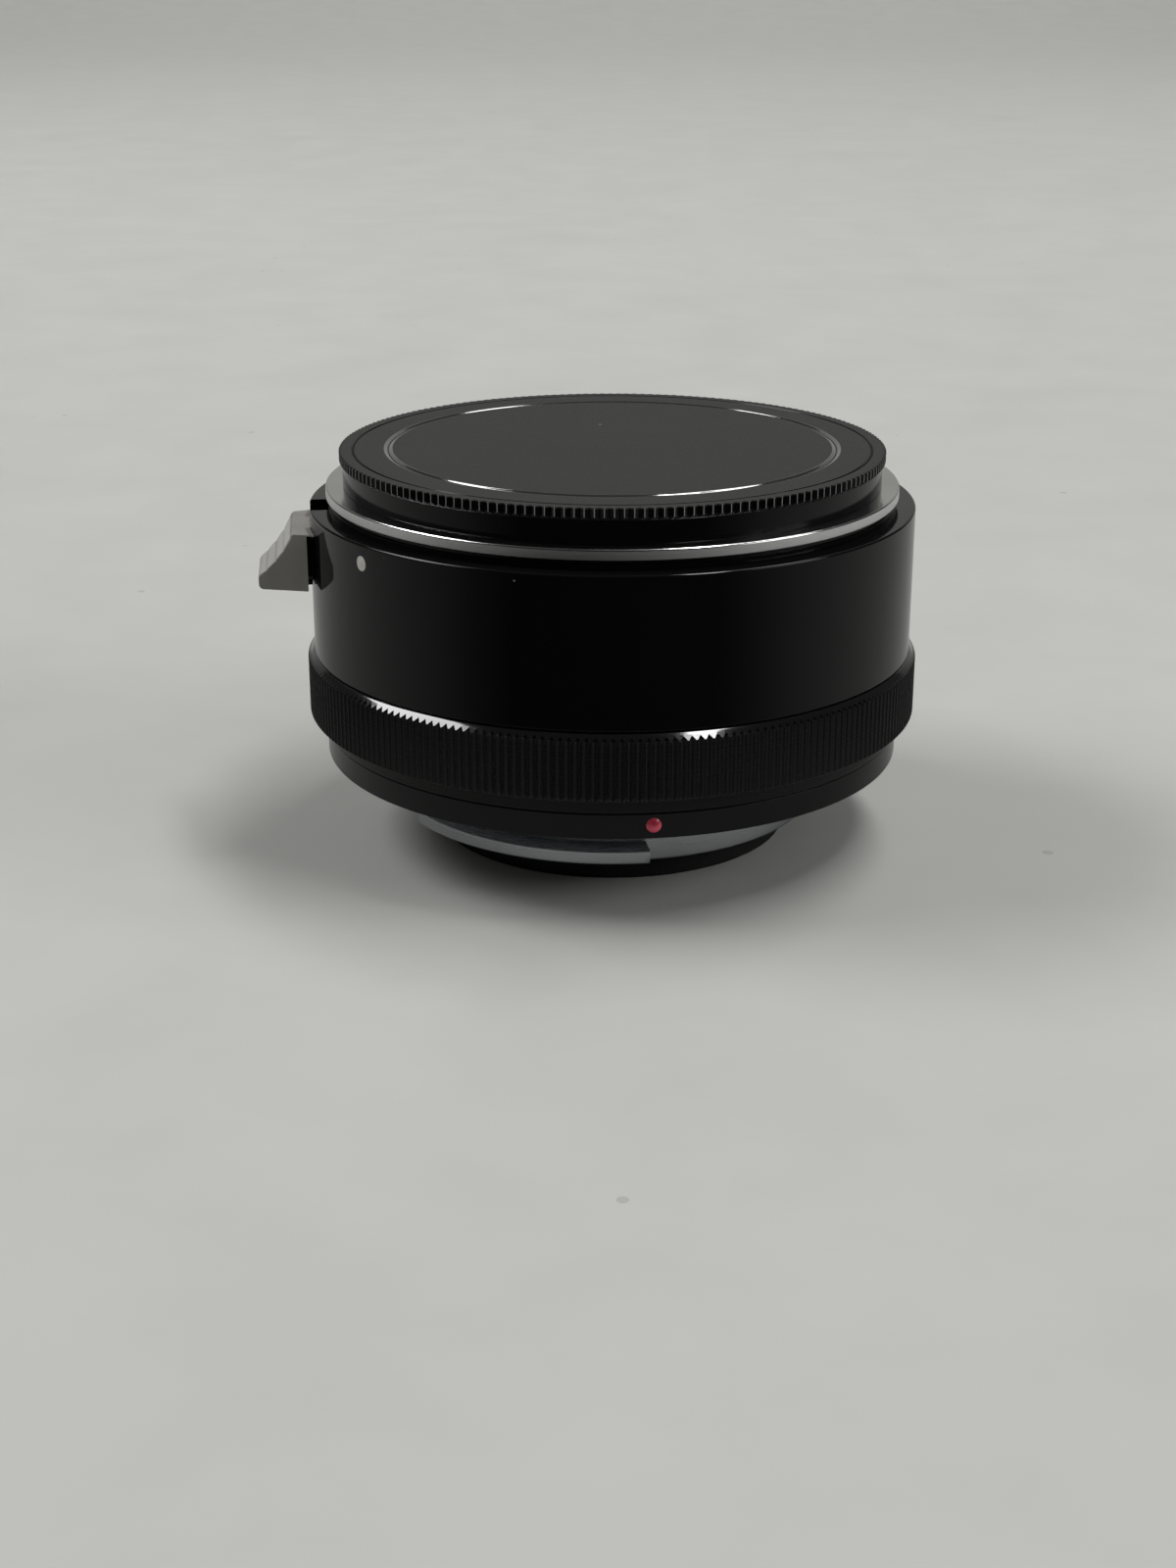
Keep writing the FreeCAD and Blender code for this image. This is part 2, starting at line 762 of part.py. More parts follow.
# Black ring round the camera-side seat
def make_rear_seat_ring():
    body = new_body("rear_seat_ring")
    edge = size.seat_ring_edge
    top_edge = barrel_bottom - size.seat_groove_height
    outline = [
        (land_bore, flange_top),
        (seat_radius + size.grip_fit, flange_top),
        (seat_radius + size.grip_fit, size.seat_ring_setback),
        (seat_ring_radius - edge, size.seat_ring_setback),
        (seat_ring_radius, size.seat_ring_setback + edge),
        (seat_ring_radius, top_edge - edge),
        (seat_ring_radius - edge, top_edge),
        (seat_ring_radius - size.seat_groove_depth, top_edge),
        (seat_ring_radius - size.seat_groove_depth, barrel_bottom),
        (land_bore, barrel_bottom),
    ]
    turned(body, "seat_ring_turned", outline)
    hole = screw_hole(body, "seat_ring_hole", screw_circle, size.screw_radius + size.screw_gap,
                      zero, land_top)
    around(body, "seat_ring_holes", [hole], size.screw_count)
    pit = [
        (seat_ring_radius - size.red_mark_depth, zero),
        (grip_radius, zero),
        (grip_radius, size.mark_radius + size.mark_fit),
        (seat_ring_radius - size.red_mark_depth, size.mark_radius + size.mark_fit),
    ]
    turned_across(body, "red_mark_pit", pit, size.red_mark_angle, size.red_mark_height, cut=True)
    keep("rear_seat_ring", body)


# Camera-side bayonet with one long lug and two short ones, so that it goes in one way only
def make_rear_bayonet():
    body = new_body("rear_bayonet")
    outline = [
        (bayonet_bore, bayonet_end),
        (bayonet_radius - size.lug_edge, bayonet_end),
        (bayonet_radius, bayonet_end + size.lug_edge),
        (bayonet_radius, zero),
        (seat_radius - size.seat_edge, zero),
        (seat_radius, size.seat_edge),
        (seat_radius, flange_top),
        (bayonet_bore, flange_top),
    ]
    turned(body, "bayonet_turned", outline)
    outline = lug_outline(lug_radius, lug_bottom, lug_top)
    third = full_turn / size.lug_count
    turned(body, "bayonet_long_lug", outline, angle=size.lug_angle, sweep=size.lug_sweep)
    turned(body, "bayonet_second_lug", outline, angle=size.lug_angle + third + size.short_lug_lead,
           sweep=size.short_lug_sweep)
    turned(body, "bayonet_third_lug", outline, angle=size.lug_angle + 2 * third,
           sweep=size.short_lug_sweep)
    hole = screw_hole(body, "bayonet_hole", screw_circle, size.screw_radius + size.screw_gap,
                      zero - size.screw_gap, land_top)
    cone = countersink(body, "bayonet_countersink", zero, 1)
    around(body, "bayonet_holes", [hole, cone], size.screw_count)
    bite = flange_top - size.tube_screw_bite
    thread = screw_hole(body, "tube_screw_thread", tube_screw_circle,
                        size.tube_screw_radius + size.pin_fit, bite, land_top, angle=size.screw_angle)
    around(body, "tube_screw_threads", [thread], size.tube_screw_count)
    screw_hole(body, "lock_slot", pin_circle, size.lock_slot_radius, zero - size.screw_gap, land_top,
               angle=None)
    body.Tip = body.Group[-1]
    keep("rear_bayonet", body)


def lug_outline(outer, bottom, top):
    """The section of a lug, rooted inside the wall that carries it."""
    root = outer - size.lug_rise - size.bayonet_tube_wall / 2
    return [
        (root, bottom),
        (outer - size.lug_edge, bottom),
        (outer, bottom + size.lug_edge),
        (outer, top - size.lug_edge),
        (outer - size.lug_edge, top),
        (root, top),
    ]


# Light baffle that the tube stands on
def make_rear_light_baffle():
    body = new_body("rear_light_baffle")
    edge = size.baffle_edge
    socket = size.light_bore_radius + size.tube_spigot_wall + size.collar_fit
    outline = [
        (size.light_bore_radius, baffle_bottom + edge),
        (size.light_bore_radius + edge, baffle_bottom),
        (tube_radius - edge, baffle_bottom),
        (tube_radius, baffle_bottom + edge),
        (tube_radius, baffle_top),
        (socket, baffle_top),
        (socket, spigot_bottom - size.collar_fit),
        (size.light_bore_radius, spigot_bottom - size.collar_fit),
    ]
    turned(body, "baffle_turned", outline)
    keep("rear_light_baffle", body)


# Inner tube with light-trap grooves
def make_inner_tube():
    body = new_body("inner_tube")
    spigot = size.light_bore_radius + size.tube_spigot_wall
    groove = tube_radius - size.clip_depth
    outline = [
        (size.light_bore_radius, spigot_bottom),
        (spigot, spigot_bottom),
        (spigot, baffle_top),
        (tube_radius, baffle_top),
        (tube_radius, flange_top),
        (tube_flange_radius, flange_top),
        (tube_flange_radius, tube_flange_top),
        (thrust_radius, tube_flange_top),
        (thrust_radius, thrust_top),
        (tube_radius, thrust_top),
        (tube_radius, clip_groove_bottom),
        (groove, clip_groove_bottom),
        (groove, clip_groove_top),
        (tube_radius, clip_groove_top),
        (tube_radius, tube_top),
        (size.light_bore_radius, tube_top),
    ]
    turned(body, "inner_tube_turned", outline)
    # The rear arm passes through a curved slot, long enough for its travel.
    slot = [
        (arm_inner - size.arm_slot_gap, flange_top - size.screw_gap),
        (bayonet_bore, flange_top - size.screw_gap),
        (bayonet_bore, tube_flange_top + size.screw_gap),
        (arm_inner - size.arm_slot_gap, tube_flange_top + size.screw_gap),
    ]
    slot_angle = size.rear_arm_angle + size.coupling_travel / 2
    slot_sweep = size.coupling_travel + size.arm_sweep + 2 * size.slot_end_gap
    turned(body, "rear_arm_slot", slot, angle=slot_angle, sweep=slot_sweep, cut=True)
    radius = size.tube_screw_radius + size.screw_gap
    mouth = size.tube_screw_head_radius + size.screw_gap
    head_foot = tube_flange_top - size.screw_recess - size.tube_screw_head_height
    hole = turned(
        body,
        "tube_flange_hole",
        [
            (tube_screw_circle, zero),
            (tube_screw_circle + radius, zero),
            (tube_screw_circle + radius, head_foot),
            (tube_screw_circle + mouth, tube_flange_top - size.screw_recess),
            (tube_screw_circle + mouth, tube_flange_top + size.screw_gap),
            (tube_screw_circle, tube_flange_top + size.screw_gap),
        ],
        angle=size.screw_angle,
        cut=True,
        own_axis=tube_screw_circle,
    )
    around(body, "tube_flange_holes", [hole], size.tube_screw_count)
    lowest = spigot_bottom + size.trap_margin
    trap = [
        (size.light_bore_radius - size.trap_depth, lowest),
        (size.light_bore_radius, lowest),
        (size.light_bore_radius + size.trap_depth, lowest + size.trap_width / 2),
        (size.light_bore_radius, lowest + size.trap_width),
        (size.light_bore_radius - size.trap_depth, lowest + size.trap_width),
    ]
    groove_cut = turned(body, "light_trap_groove", trap, cut=True)
    pattern = body.newObject("PartDesign::LinearPattern", "light_trap_grooves")
    pattern.Originals = [groove_cut]
    pattern.Direction = (origin_plane(body, "Z_Axis"), [""])
    room = tube_top - spigot_bottom - 2 * size.trap_margin - size.trap_width
    steps = int(room.number / size.trap_pitch.number)
    pattern.Occurrences = steps + 1
    pattern.Length = steps * size.trap_pitch.number
    pattern.setExpression("Length", (steps * size.trap_pitch).formula)
    body.Tip = pattern
    keep("inner_tube", body)


def make_inner_tube_screws():
    body = new_body("inner_tube_screws", several=True)
    head = tube_flange_top - size.screw_recess
    radius = size.tube_screw_radius
    outline = [
        (tube_screw_circle, head),
        (tube_screw_circle + size.tube_screw_head_radius, head),
        (tube_screw_circle + radius, head - size.tube_screw_head_height),
        (tube_screw_circle + radius, flange_top - size.tube_screw_bite + size.screw_gap),
        (tube_screw_circle, flange_top - size.tube_screw_bite + size.screw_gap),
    ]
    shank = turned(body, "tube_screw_shank", outline, angle=size.screw_angle,
                   own_axis=tube_screw_circle)
    reach = size.tube_screw_head_radius - size.cross_half_width * 2
    recess = cross_recess(body, "tube_screw_cross", head, tube_screw_circle, reach, -1)
    around(body, "tube_screw_circle", [shank, recess], size.tube_screw_count)
    keep("inner_tube_screws", body)


# Coupling ring, its clip, arms, rivets and spring
def make_coupling_ring():
    body = new_body("coupling_ring")
    edge = size.ring_edge
    outline = [
        (ring_bore, ring_bottom),
        (ring_radius - edge, ring_bottom),
        (ring_radius, ring_bottom + edge),
        (ring_radius, ring_top - edge),
        (ring_radius - edge, ring_top),
        (ring_bore, ring_top),
    ]
    turned(body, "coupling_ring_turned", outline)
    ear = [
        (ring_radius - size.ring_wall / 2, ring_bottom),
        (ear_radius, ring_bottom),
        (ear_radius, ring_top),
        (ring_radius - size.ring_wall / 2, ring_top),
    ]
    turned(body, "spring_ear", ear, angle=size.ear_angle, sweep=size.ear_sweep)
    screw_hole(body, "ear_hole", ear_pin_circle, size.post_tenon_radius + size.pin_fit,
               zero, ring_top + size.screw_gap, angle=size.ear_angle)
    for name, angle in rivet_angles().items():
        screw_hole(body, f"{name}_hole", rivet_circle, size.rivet_radius + size.pin_fit,
                   zero, ring_top + size.screw_gap, angle=angle)
    keep("coupling_ring", body)


def make_coupling_clip():
    body = new_body("coupling_clip")
    bottom = clip_groove_bottom + size.clip_side_gap
    outline = [
        (tube_radius - size.clip_depth + size.collar_fit, bottom),
        (tube_radius + size.clip_rise, bottom),
        (tube_radius + size.clip_rise, bottom + size.clip_thickness),
        (tube_radius - size.clip_depth + size.collar_fit, bottom + size.clip_thickness),
    ]
    turned(body, "clip_turned", outline, sweep=full_turn - size.clip_opening)
    keep("coupling_clip", body)


rivet_circle = ring_radius - size.rivet_inset


def rivet_angles():
    """Two rivets hold each arm."""
    half = size.rivet_half_spacing
    return {
        "front_rivet_low": size.front_arm_angle - half,
        "front_rivet_high": size.front_arm_angle + half,
        "rear_rivet_low": size.rear_arm_angle - half,
        "rear_rivet_high": size.rear_arm_angle + half,
    }


def make_arm(name, angle, near, far, foot_near, foot_far):
    """A sheet-metal arm with a foot that lies on the coupling ring."""
    body = new_body(name)
    arm = [
        (arm_inner, near),
        (arm_outer, near),
        (arm_outer, far),
        (arm_inner, far),
    ]
    turned(body, f"{name}_blade", arm, angle=angle, sweep=size.arm_sweep)
    foot = [
        (arm_inner, foot_near),
        (ring_radius, foot_near),
        (ring_radius, foot_far),
        (arm_inner, foot_far),
    ]
    turned(body, f"{name}_foot", foot, angle=angle, sweep=size.arm_foot_sweep)
    for rivet, rivet_angle in rivet_angles().items():
        if rivet.split("_")[0] == name.split("_")[0]:
            screw_hole(body, f"{name}_{rivet}", rivet_circle, size.rivet_radius + size.pin_fit,
                       zero, front_seat, angle=rivet_angle)
    keep(name, body)


def make_arms():
    thickness = size.arm_thickness
    make_arm("front_diaphragm_arm", size.front_arm_angle, ring_top, front_seat - size.front_arm_drop,
             ring_top, ring_top + thickness)
    make_arm("rear_diaphragm_arm", size.rear_arm_angle, baffle_bottom + size.rear_arm_rise,
             ring_bottom, ring_bottom - thickness, ring_bottom)


def make_coupling_rivets():
    body = new_body("coupling_rivets", several=True)
    radius = rivet_circle + size.rivet_radius
    head = rivet_circle + size.rivet_head_radius
    height = size.rivet_head_height
    for name, angle in rivet_angles().items():
        front = name.startswith("front")
        bottom = ring_bottom if front else ring_bottom - size.arm_thickness
        top = ring_top + size.arm_thickness if front else ring_top
        outline = [
            (rivet_circle, bottom - height),
            (head, bottom - height),
            (head, bottom),
            (radius, bottom),
            (radius, top),
            (head, top),
            (head, top + height),
            (rivet_circle, top + height),
        ]
        turned(body, name, outline, angle=angle, own_axis=rivet_circle)
    keep("coupling_rivets", body)


def make_spring_post(name, circle, foot, tenon_foot, angle):
    """A small post with a groove that a spring's hook lies in."""
    body = new_body(name)
    outer = circle + size.post_radius
    tenon = circle + size.post_tenon_radius
    hook = foot + size.hook_height
    top = foot + size.post_height
    groove = size.coil_wire_radius + size.hook_groove
    outline = [
        (circle, tenon_foot),
        (tenon, tenon_foot),
        (tenon, foot),
        (outer, foot),
        (outer, hook - groove),
        (outer - size.hook_groove, hook - groove),
        (outer - size.hook_groove, hook + groove),
        (outer, hook + groove),
        (outer, top),
        (circle, top),
    ]
    turned(body, f"{name}_turned", outline, angle=angle, own_axis=circle)
    keep(name, body)


post_foot = land_top - size.post_tenon_length


def make_spring_posts():
    make_spring_post("spring_anchor_post", post_circle, land_top, post_foot, size.post_angle)
    make_spring_post("coupling_ring_post", ear_pin_circle, ring_top, ring_bottom, size.ear_angle)


def polar(radius, angle, height):
    turn = math.radians(angle)
    return Vector(radius * math.cos(turn), radius * math.sin(turn), height)


def make_coupling_spring():
    """A tension spring with a hook at each post; its two hooks lie at the heights of their grooves."""
    anchor = polar(post_circle.number, size.post_angle.number, (land_top + size.hook_height).number)
    pin = polar(ear_pin_circle.number, size.ear_angle.number, (ring_top + size.hook_height).number)
    along = (pin - anchor).normalize()
    up = Vector(0, 0, 1)
    across = along.cross(up).normalize()
    wire = size.coil_wire_radius.number
    hook = size.post_radius.number - size.hook_groove.number + wire + size.pin_fit.number
    turns = size.coil_turns.number
    pitch = size.coil_pitch.number
    radius = size.coil_radius.number
    length = turns * pitch
    middle = (anchor + pin) / 2
    base = middle - along * (length / 2)
    first, first_way = coil_point(0, radius, pitch, base, along, across, along.cross(across))
    last, last_way = coil_point(turns, radius, pitch, base, along, across, along.cross(across))
    hook_start = anchor + across * hook
    hook_back = anchor - along * hook
    hook_end = anchor - across * hook
    far_start = pin + across * hook
    far_back = pin + along * hook
    far_end = pin - across * hook
    edges = [Part.Arc(hook_start, hook_back, hook_end).toShape()]
    edges += arc_pair(hook_end, along, first, first_way)
    edges += coil_edges(radius, pitch, turns, base, along, across)
    edges += arc_pair(last, last_way, far_start, along)
    edges += [Part.Arc(far_start, far_back, far_end).toShape()]
    spring = document.addObject("Part::Feature", "coupling_return_spring")
    spring.Shape = wire_solid(edges, -along, wire)
    turn_with_tube(spring)
    keep("coupling_return_spring", spring)


# Lens-side flange with three claws
def make_front_flange():
    body = new_body("front_flange")
    edge = size.flange_edge
    outline = [
        (flange_bore, claw_bottom),
        (collar_radius, claw_bottom),
        (collar_radius, spacer_top),
        (flange_radius, spacer_top),
        (flange_radius, front_seat - edge),
        (flange_radius - edge, front_seat),
        (flange_bore + edge, front_seat),
        (flange_bore, front_seat - edge),
    ]
    turned(body, "flange_turned", outline)
    claw = [
        (claw_radius, claw_bottom + edge),
        (claw_radius + edge, claw_bottom),
        (flange_bore + size.collar_wall / 2, claw_bottom),
        (flange_bore + size.collar_wall / 2, claw_top),
        (claw_radius + edge, claw_top),
        (claw_radius, claw_top - edge),
    ]
    claw_sweep = full_turn / size.lug_count - size.lug_sweep - 2 * size.claw_side_gap
    one_claw = turned(body, "flange_claw", claw, angle=size.lug_angle, sweep=claw_sweep)
    around(body, "flange_claws", [one_claw], size.lug_count)
    hole = screw_hole(body, "flange_hole", screw_circle, size.screw_radius + size.screw_gap,
                      barrel_top, front_seat + size.screw_gap)
    cone = countersink(body, "flange_countersink", front_seat, -1)
    around(body, "flange_holes", [hole, cone], size.screw_count)
    screw_hole(body, "flange_pin_hole", pin_circle, size.pin_radius + size.pin_guide_gap,
               barrel_top, front_seat + size.screw_gap, angle=None)
    body.Tip = body.Group[-1]
    keep("front_flange", body)


def make_front_spacer_ring():
    body = new_body("front_spacer_ring")
    line = barrel_top + size.spacer_thickness / 2
    outline = [
        (shoulder_bore, barrel_top),
        (spacer_radius, barrel_top),
        (spacer_radius, line - size.spacer_line_height),
        (spacer_radius - size.spacer_line_depth, line),
        (spacer_radius, line + size.spacer_line_height),
        (spacer_radius, spacer_top),
        (shoulder_bore, spacer_top),
    ]
    turned(body, "spacer_turned", outline)
    hole = screw_hole(body, "spacer_hole", screw_circle, size.screw_radius + size.screw_gap,
                      zero, front_seat)
    around(body, "spacer_holes", [hole], size.screw_count)
    screw_hole(body, "spacer_pin_hole", pin_circle, size.pin_radius + size.pin_guide_gap,
               zero, front_seat, angle=None)
    body.Tip = body.Group[-1]
    keep("front_spacer_ring", body)


def make_mount_spring_ring():
    """A flat ring with a spring finger under each claw."""
    body = new_body("mount_spring_ring")
    inner = flange_bore + size.collar_fit
    finger_outer = flange_bore - size.finger_outer_gap
    finger_inner = claw_radius + size.finger_inner_gap
    ring = [
        (inner, ledge_top),
        (collar_radius, ledge_top),
        (collar_radius, claw_bottom),
        (inner, claw_bottom),
    ]
    turned(body, "spring_ring_turned", ring)
    claw_sweep = full_turn / size.lug_count - size.lug_sweep - 2 * size.claw_side_gap
    finger_sweep = claw_sweep - 2 * size.finger_margin
    root = [
        (finger_inner, ledge_top),
        (inner + size.collar_wall / 2, ledge_top),
        (inner + size.collar_wall / 2, claw_bottom),
        (finger_inner, claw_bottom),
    ]
    root_angle = size.lug_angle - finger_sweep / 2 + size.finger_root_sweep / 2
    finger_root = turned(body, "finger_root", root, angle=root_angle, sweep=size.finger_root_sweep)
    finger = [
        (finger_inner, ledge_top),
        (finger_outer, ledge_top),
        (finger_outer, claw_bottom),
        (finger_inner, claw_bottom),
    ]
    one_finger = turned(body, "finger", finger, angle=size.lug_angle, sweep=finger_sweep)
    around(body, "fingers", [finger_root, one_finger], size.lug_count)
    keep("mount_spring_ring", body)


# Index marks
white_mark_height = barrel_top - size.white_mark_drop


def make_index_mark(name, surface, depth, dome, angle, height):
    """A round mark in its pit, with a low dome."""
    body = new_body(name)
    radius = size.mark_radius
    dome_radius = (radius * radius + dome * dome) / (2 * dome)
    outline = [
        (surface - depth, zero),
        (surface + dome, zero, dome_radius),
        (surface, radius),
        (surface - depth, radius),
    ]
    turned_across(body, f"{name}_turned", outline, angle, height)
    keep(name, body)


def make_index_marks():
    make_index_mark("white_index_dot", barrel_radius, size.white_mark_depth, size.white_mark_dome,
                    size.white_mark_angle, white_mark_height)
    make_index_mark("red_index_bead", seat_ring_radius, size.red_mark_depth, size.red_mark_dome,
                    size.red_mark_angle, size.red_mark_height)


# Release lever, which slides down and pulls the lock pin in
lever_face = barrel_radius + size.lever_standoff
lever_top = barrel_top - size.lever_drop
lever_bottom = lever_top - size.lever_height
stem_top = lever_top - size.stem_drop
stem_bottom = stem_top - size.stem_height
carrier_outer = barrel_bore - size.carrier_wall_gap
carrier_inner = carrier_outer - size.carrier_thickness
carrier_top = shoulder_bottom - size.carrier_top_gap
carrier_bottom = carrier_top - size.carrier_depth
pin_circle = carrier_inner - size.pin_setback
ledge_bottom = carrier_top - size.ledge_thickness
lever_screw_height = ledge_bottom - size.lever_screw_drop
rod_head_top = ledge_bottom - size.rod_length + size.ledge_thickness


def make_release_lever():
    body = new_body("release_lever")
    toe = lever_face + size.lever_bottom_reach
    top = lever_face + size.lever_top_reach
    toe_radius = size.lever_toe_radius
    # The toe is rounded under, and the face leans in towards the top.
    outline = [
        (barrel_bore, lever_bottom),
        (toe - toe_radius, lever_bottom, toe_radius),
        (toe, lever_bottom + toe_radius),
        (toe, lever_bottom + size.lever_toe_height),
        (top, lever_top - size.lever_edge),
        (top - size.lever_edge, lever_top),
        (barrel_bore, lever_top),
    ]
    side_cut(body, "lever_body", outline, size.lever_width)
    # Its back follows the barrel, and a thin lip at the top covers the slide plate.
    lip = barrel_radius + size.slide_plate_gap
    hollow = [
        (zero, lever_bottom - size.lever_edge),
        (lever_face, lever_bottom - size.lever_edge),
        (lever_face, lever_top - size.lever_lip),
        (lip, lever_top - size.lever_lip),
        (lip, lever_top + size.lever_edge),
        (zero, lever_top + size.lever_edge),
    ]
    turned(body, "lever_back", hollow, cut=True)
    # Seen from above it narrows towards the toe.
    flank = [
        (lever_face, size.lever_width / 2),
        (toe, size.lever_toe_width / 2),
        (toe + size.lever_edge, size.lever_toe_width / 2),
        (toe + size.lever_edge, size.lever_width),
        (lever_face, size.lever_width),
    ]
    flank_sketch = flat_sketch(body, "lever_flankOutline", lever_top + size.lever_edge)
    draw_outline(flank_sketch, flank)
    flank_cut = body.newObject("PartDesign::Pocket", "lever_flank")
    flank_cut.Profile = flank_sketch
    depth = size.lever_height + 2 * size.lever_edge
    flank_cut.Length = depth.number
    flank_cut.setExpression("Length", depth.formula)
    mirrored(body, "lever_flanks", [flank_cut])
    stem = [
        (carrier_outer, stem_bottom),
        (lever_face + size.lever_edge, stem_bottom),
        (lever_face + size.lever_edge, stem_top),
        (carrier_outer, stem_top),
    ]
    side_cut(body, "lever_stem", stem, size.stem_width)
    for number in range(int(size.ridge_count.number)):
        low = size.ridge_first + number * size.ridge_step
        side_cut(body, f"lever_notch_{number + 1}", notch_outline(toe, top, low), size.lever_width,
                 cut=True)
    pad = size.lever_screw_radius + size.pin_fit
    hole = screw_across(body, "stem_hole", pad, zero, carrier_outer + size.lever_screw_bite)
    mirrored(body, "stem_holes", [hole])
    keep("release_lever", body)


def notch_outline(toe, top, share):
    """A notch across the leaning face, at a share of the way up it."""
    foot = lever_bottom + size.lever_toe_height
    rise = lever_top - size.lever_edge - foot
    lean = toe - top
    half = size.ridge_width / 2 / rise
    low = share - half
    high = share + half
    depth = size.ridge_depth
    return [
        (toe - lean * low, foot + rise * low),
        (toe - lean * low + depth, foot + rise * low),
        (toe - lean * high + depth, foot + rise * high),
        (toe - lean * high, foot + rise * high),
        (toe - lean * share - depth, foot + rise * share),
    ]


def screw_across(body, name, radius, start, end, cut=True):
    """A round hole or shank that points outwards from the optical axis, beside the lever's middle."""
    sketch = upright_sketch(body, f"{name}Outline", height=lever_screw_height,
                            sideways=size.lever_screw_half_spacing)
    corners = [
        (start, zero),
        (end, zero),
        (end, radius),
        (start, radius),
    ]
    draw_outline(sketch, corners)
    feature = body.newObject("PartDesign::Groove" if cut else "PartDesign::Revolution", name)
    feature.Profile = sketch
    feature.ReferenceAxis = (sketch, ["H_Axis"])
    feature.Angle = full_turn.number
    return feature


def make_lever_slide_plate():
    """The black plate between the lever and the barrel, which covers the slot."""
    body = new_body("lever_slide_plate")
    inner = barrel_radius + size.slide_plate_gap
    bottom = lever_bottom + size.slide_plate_rise
    top = lever_top - size.lever_lip
    outline = [
        (inner, bottom),
        (lever_face, bottom),
        (lever_face, top),
        (inner, top),
    ]
    turned(body, "slide_plate_turned", outline, sweep=size.slide_plate_sweep)
    window = [
        (barrel_bore, stem_bottom - size.stem_fit),
        (grip_radius + size.lever_bottom_reach, stem_bottom - size.stem_fit),
        (grip_radius + size.lever_bottom_reach, stem_top + size.stem_fit),
        (barrel_bore, stem_top + size.stem_fit),
    ]
    side_cut(body, "slide_plate_window", window, size.stem_width + 2 * size.stem_fit, cut=True)
    # The two lower corners are cut off.
    corner = size.slide_plate_corner
    end = size.lever_width / 2
    sketch = body.newObject("Sketcher::SketchObject", "slide_plate_cornerOutline")
    sketch.AttachmentSupport = [(origin_plane(body, "YZ_Plane"), "")]
    sketch.MapMode = "FlatFace"
    inset = size.slide_plate_corner + size.lever_width / 2 - size.slide_plate_half_width
    draw_outline(sketch, [
        (end - inset - corner, bottom - corner),
        (end, bottom - corner),
        (end, bottom + inset),
    ])
    cut = body.newObject("PartDesign::Pocket", "slide_plate_corner")
    cut.Profile = sketch
    cut.Type = "ThroughAll"
    cut.Reversed = True
    mirrored(body, "slide_plate_corners", [cut])
    keep("lever_slide_plate", body)


def make_lever_carrier():
    """The bracket inside the barrel that joins the lever to the lock pin."""
    body = new_body("lever_carrier")
    ledge_inner = carrier_inner - size.ledge_reach
    outline = [
        (carrier_inner, carrier_bottom),
        (carrier_outer, carrier_bottom),
        (carrier_outer, carrier_top),
        (ledge_inner, carrier_top),
        (ledge_inner, ledge_bottom),
        (carrier_inner, ledge_bottom),
    ]
    side_cut(body, "carrier_bent", outline, size.carrier_width)
    screw_hole(body, "carrier_pin_hole", pin_circle, size.pin_radius + size.pin_fit,
               zero, front_seat, angle=None)
    rod_gap = size.rod_radius + size.pin_guide_gap
    rod_hole = turned(
        body,
        "carrier_rod_hole",
        [
            (pin_circle, zero),
            (pin_circle + rod_gap, zero),
            (pin_circle + rod_gap, front_seat),
            (pin_circle, front_seat),
        ],
        cut=True,
        own_axis=pin_circle,
        sideways=size.rod_half_spacing,
    )
    mirrored(body, "carrier_rod_holes", [rod_hole])
    hole = screw_across(body, "carrier_screw_hole", size.lever_screw_radius + size.screw_gap,
                        zero, barrel_radius)
    mirrored(body, "carrier_screw_holes", [hole])
    keep("lever_carrier", body)


def make_lever_screws():
    body = new_body("lever_screws", several=True)
    head_start = carrier_inner - size.lever_screw_head_height
    head = screw_across(body, "lever_screw_head", size.lever_screw_head_radius, head_start,
                        carrier_inner, cut=False)
    end = carrier_outer + size.lever_screw_bite - size.screw_gap
    shank = screw_across(body, "lever_screw_shank", size.lever_screw_radius,
                         head_start + size.screw_gap, end, cut=False)
    mirrored(body, "lever_screw_pair", [head, shank])
    keep("lever_screws", body)


def make_lock_pin():
    body = new_body("lock_pin")
    radius = pin_circle + size.pin_radius
    foot = pin_circle + size.pin_foot_radius
    tip = front_seat + size.pin_reach
    outline = [
        (pin_circle, ledge_bottom - size.pin_foot_height),
        (foot, ledge_bottom - size.pin_foot_height),
        (foot, ledge_bottom),
        (radius, ledge_bottom),
        (radius, tip - size.pin_edge),
        (radius - size.pin_edge, tip),
        (pin_circle, tip),
    ]
    turned(body, "lock_pin_turned", outline, own_axis=pin_circle)
    keep("lock_pin", body)


def make_guide_rods():
    body = new_body("lever_guide_rods", several=True)
    radius = pin_circle + size.rod_radius
    head = pin_circle + size.rod_head_radius
    outline = [
        (pin_circle, rod_head_top - size.rod_head_height),
        (head, rod_head_top - size.rod_head_height),
        (head, rod_head_top),
        (radius, rod_head_top),
        (radius, barrel_top - size.screw_gap),
        (pin_circle, barrel_top - size.screw_gap),
    ]
    rod = turned(body, "guide_rod", outline, own_axis=pin_circle, sideways=size.rod_half_spacing)
    mirrored(body, "guide_rod_pair", [rod])
    keep("lever_guide_rods", body)


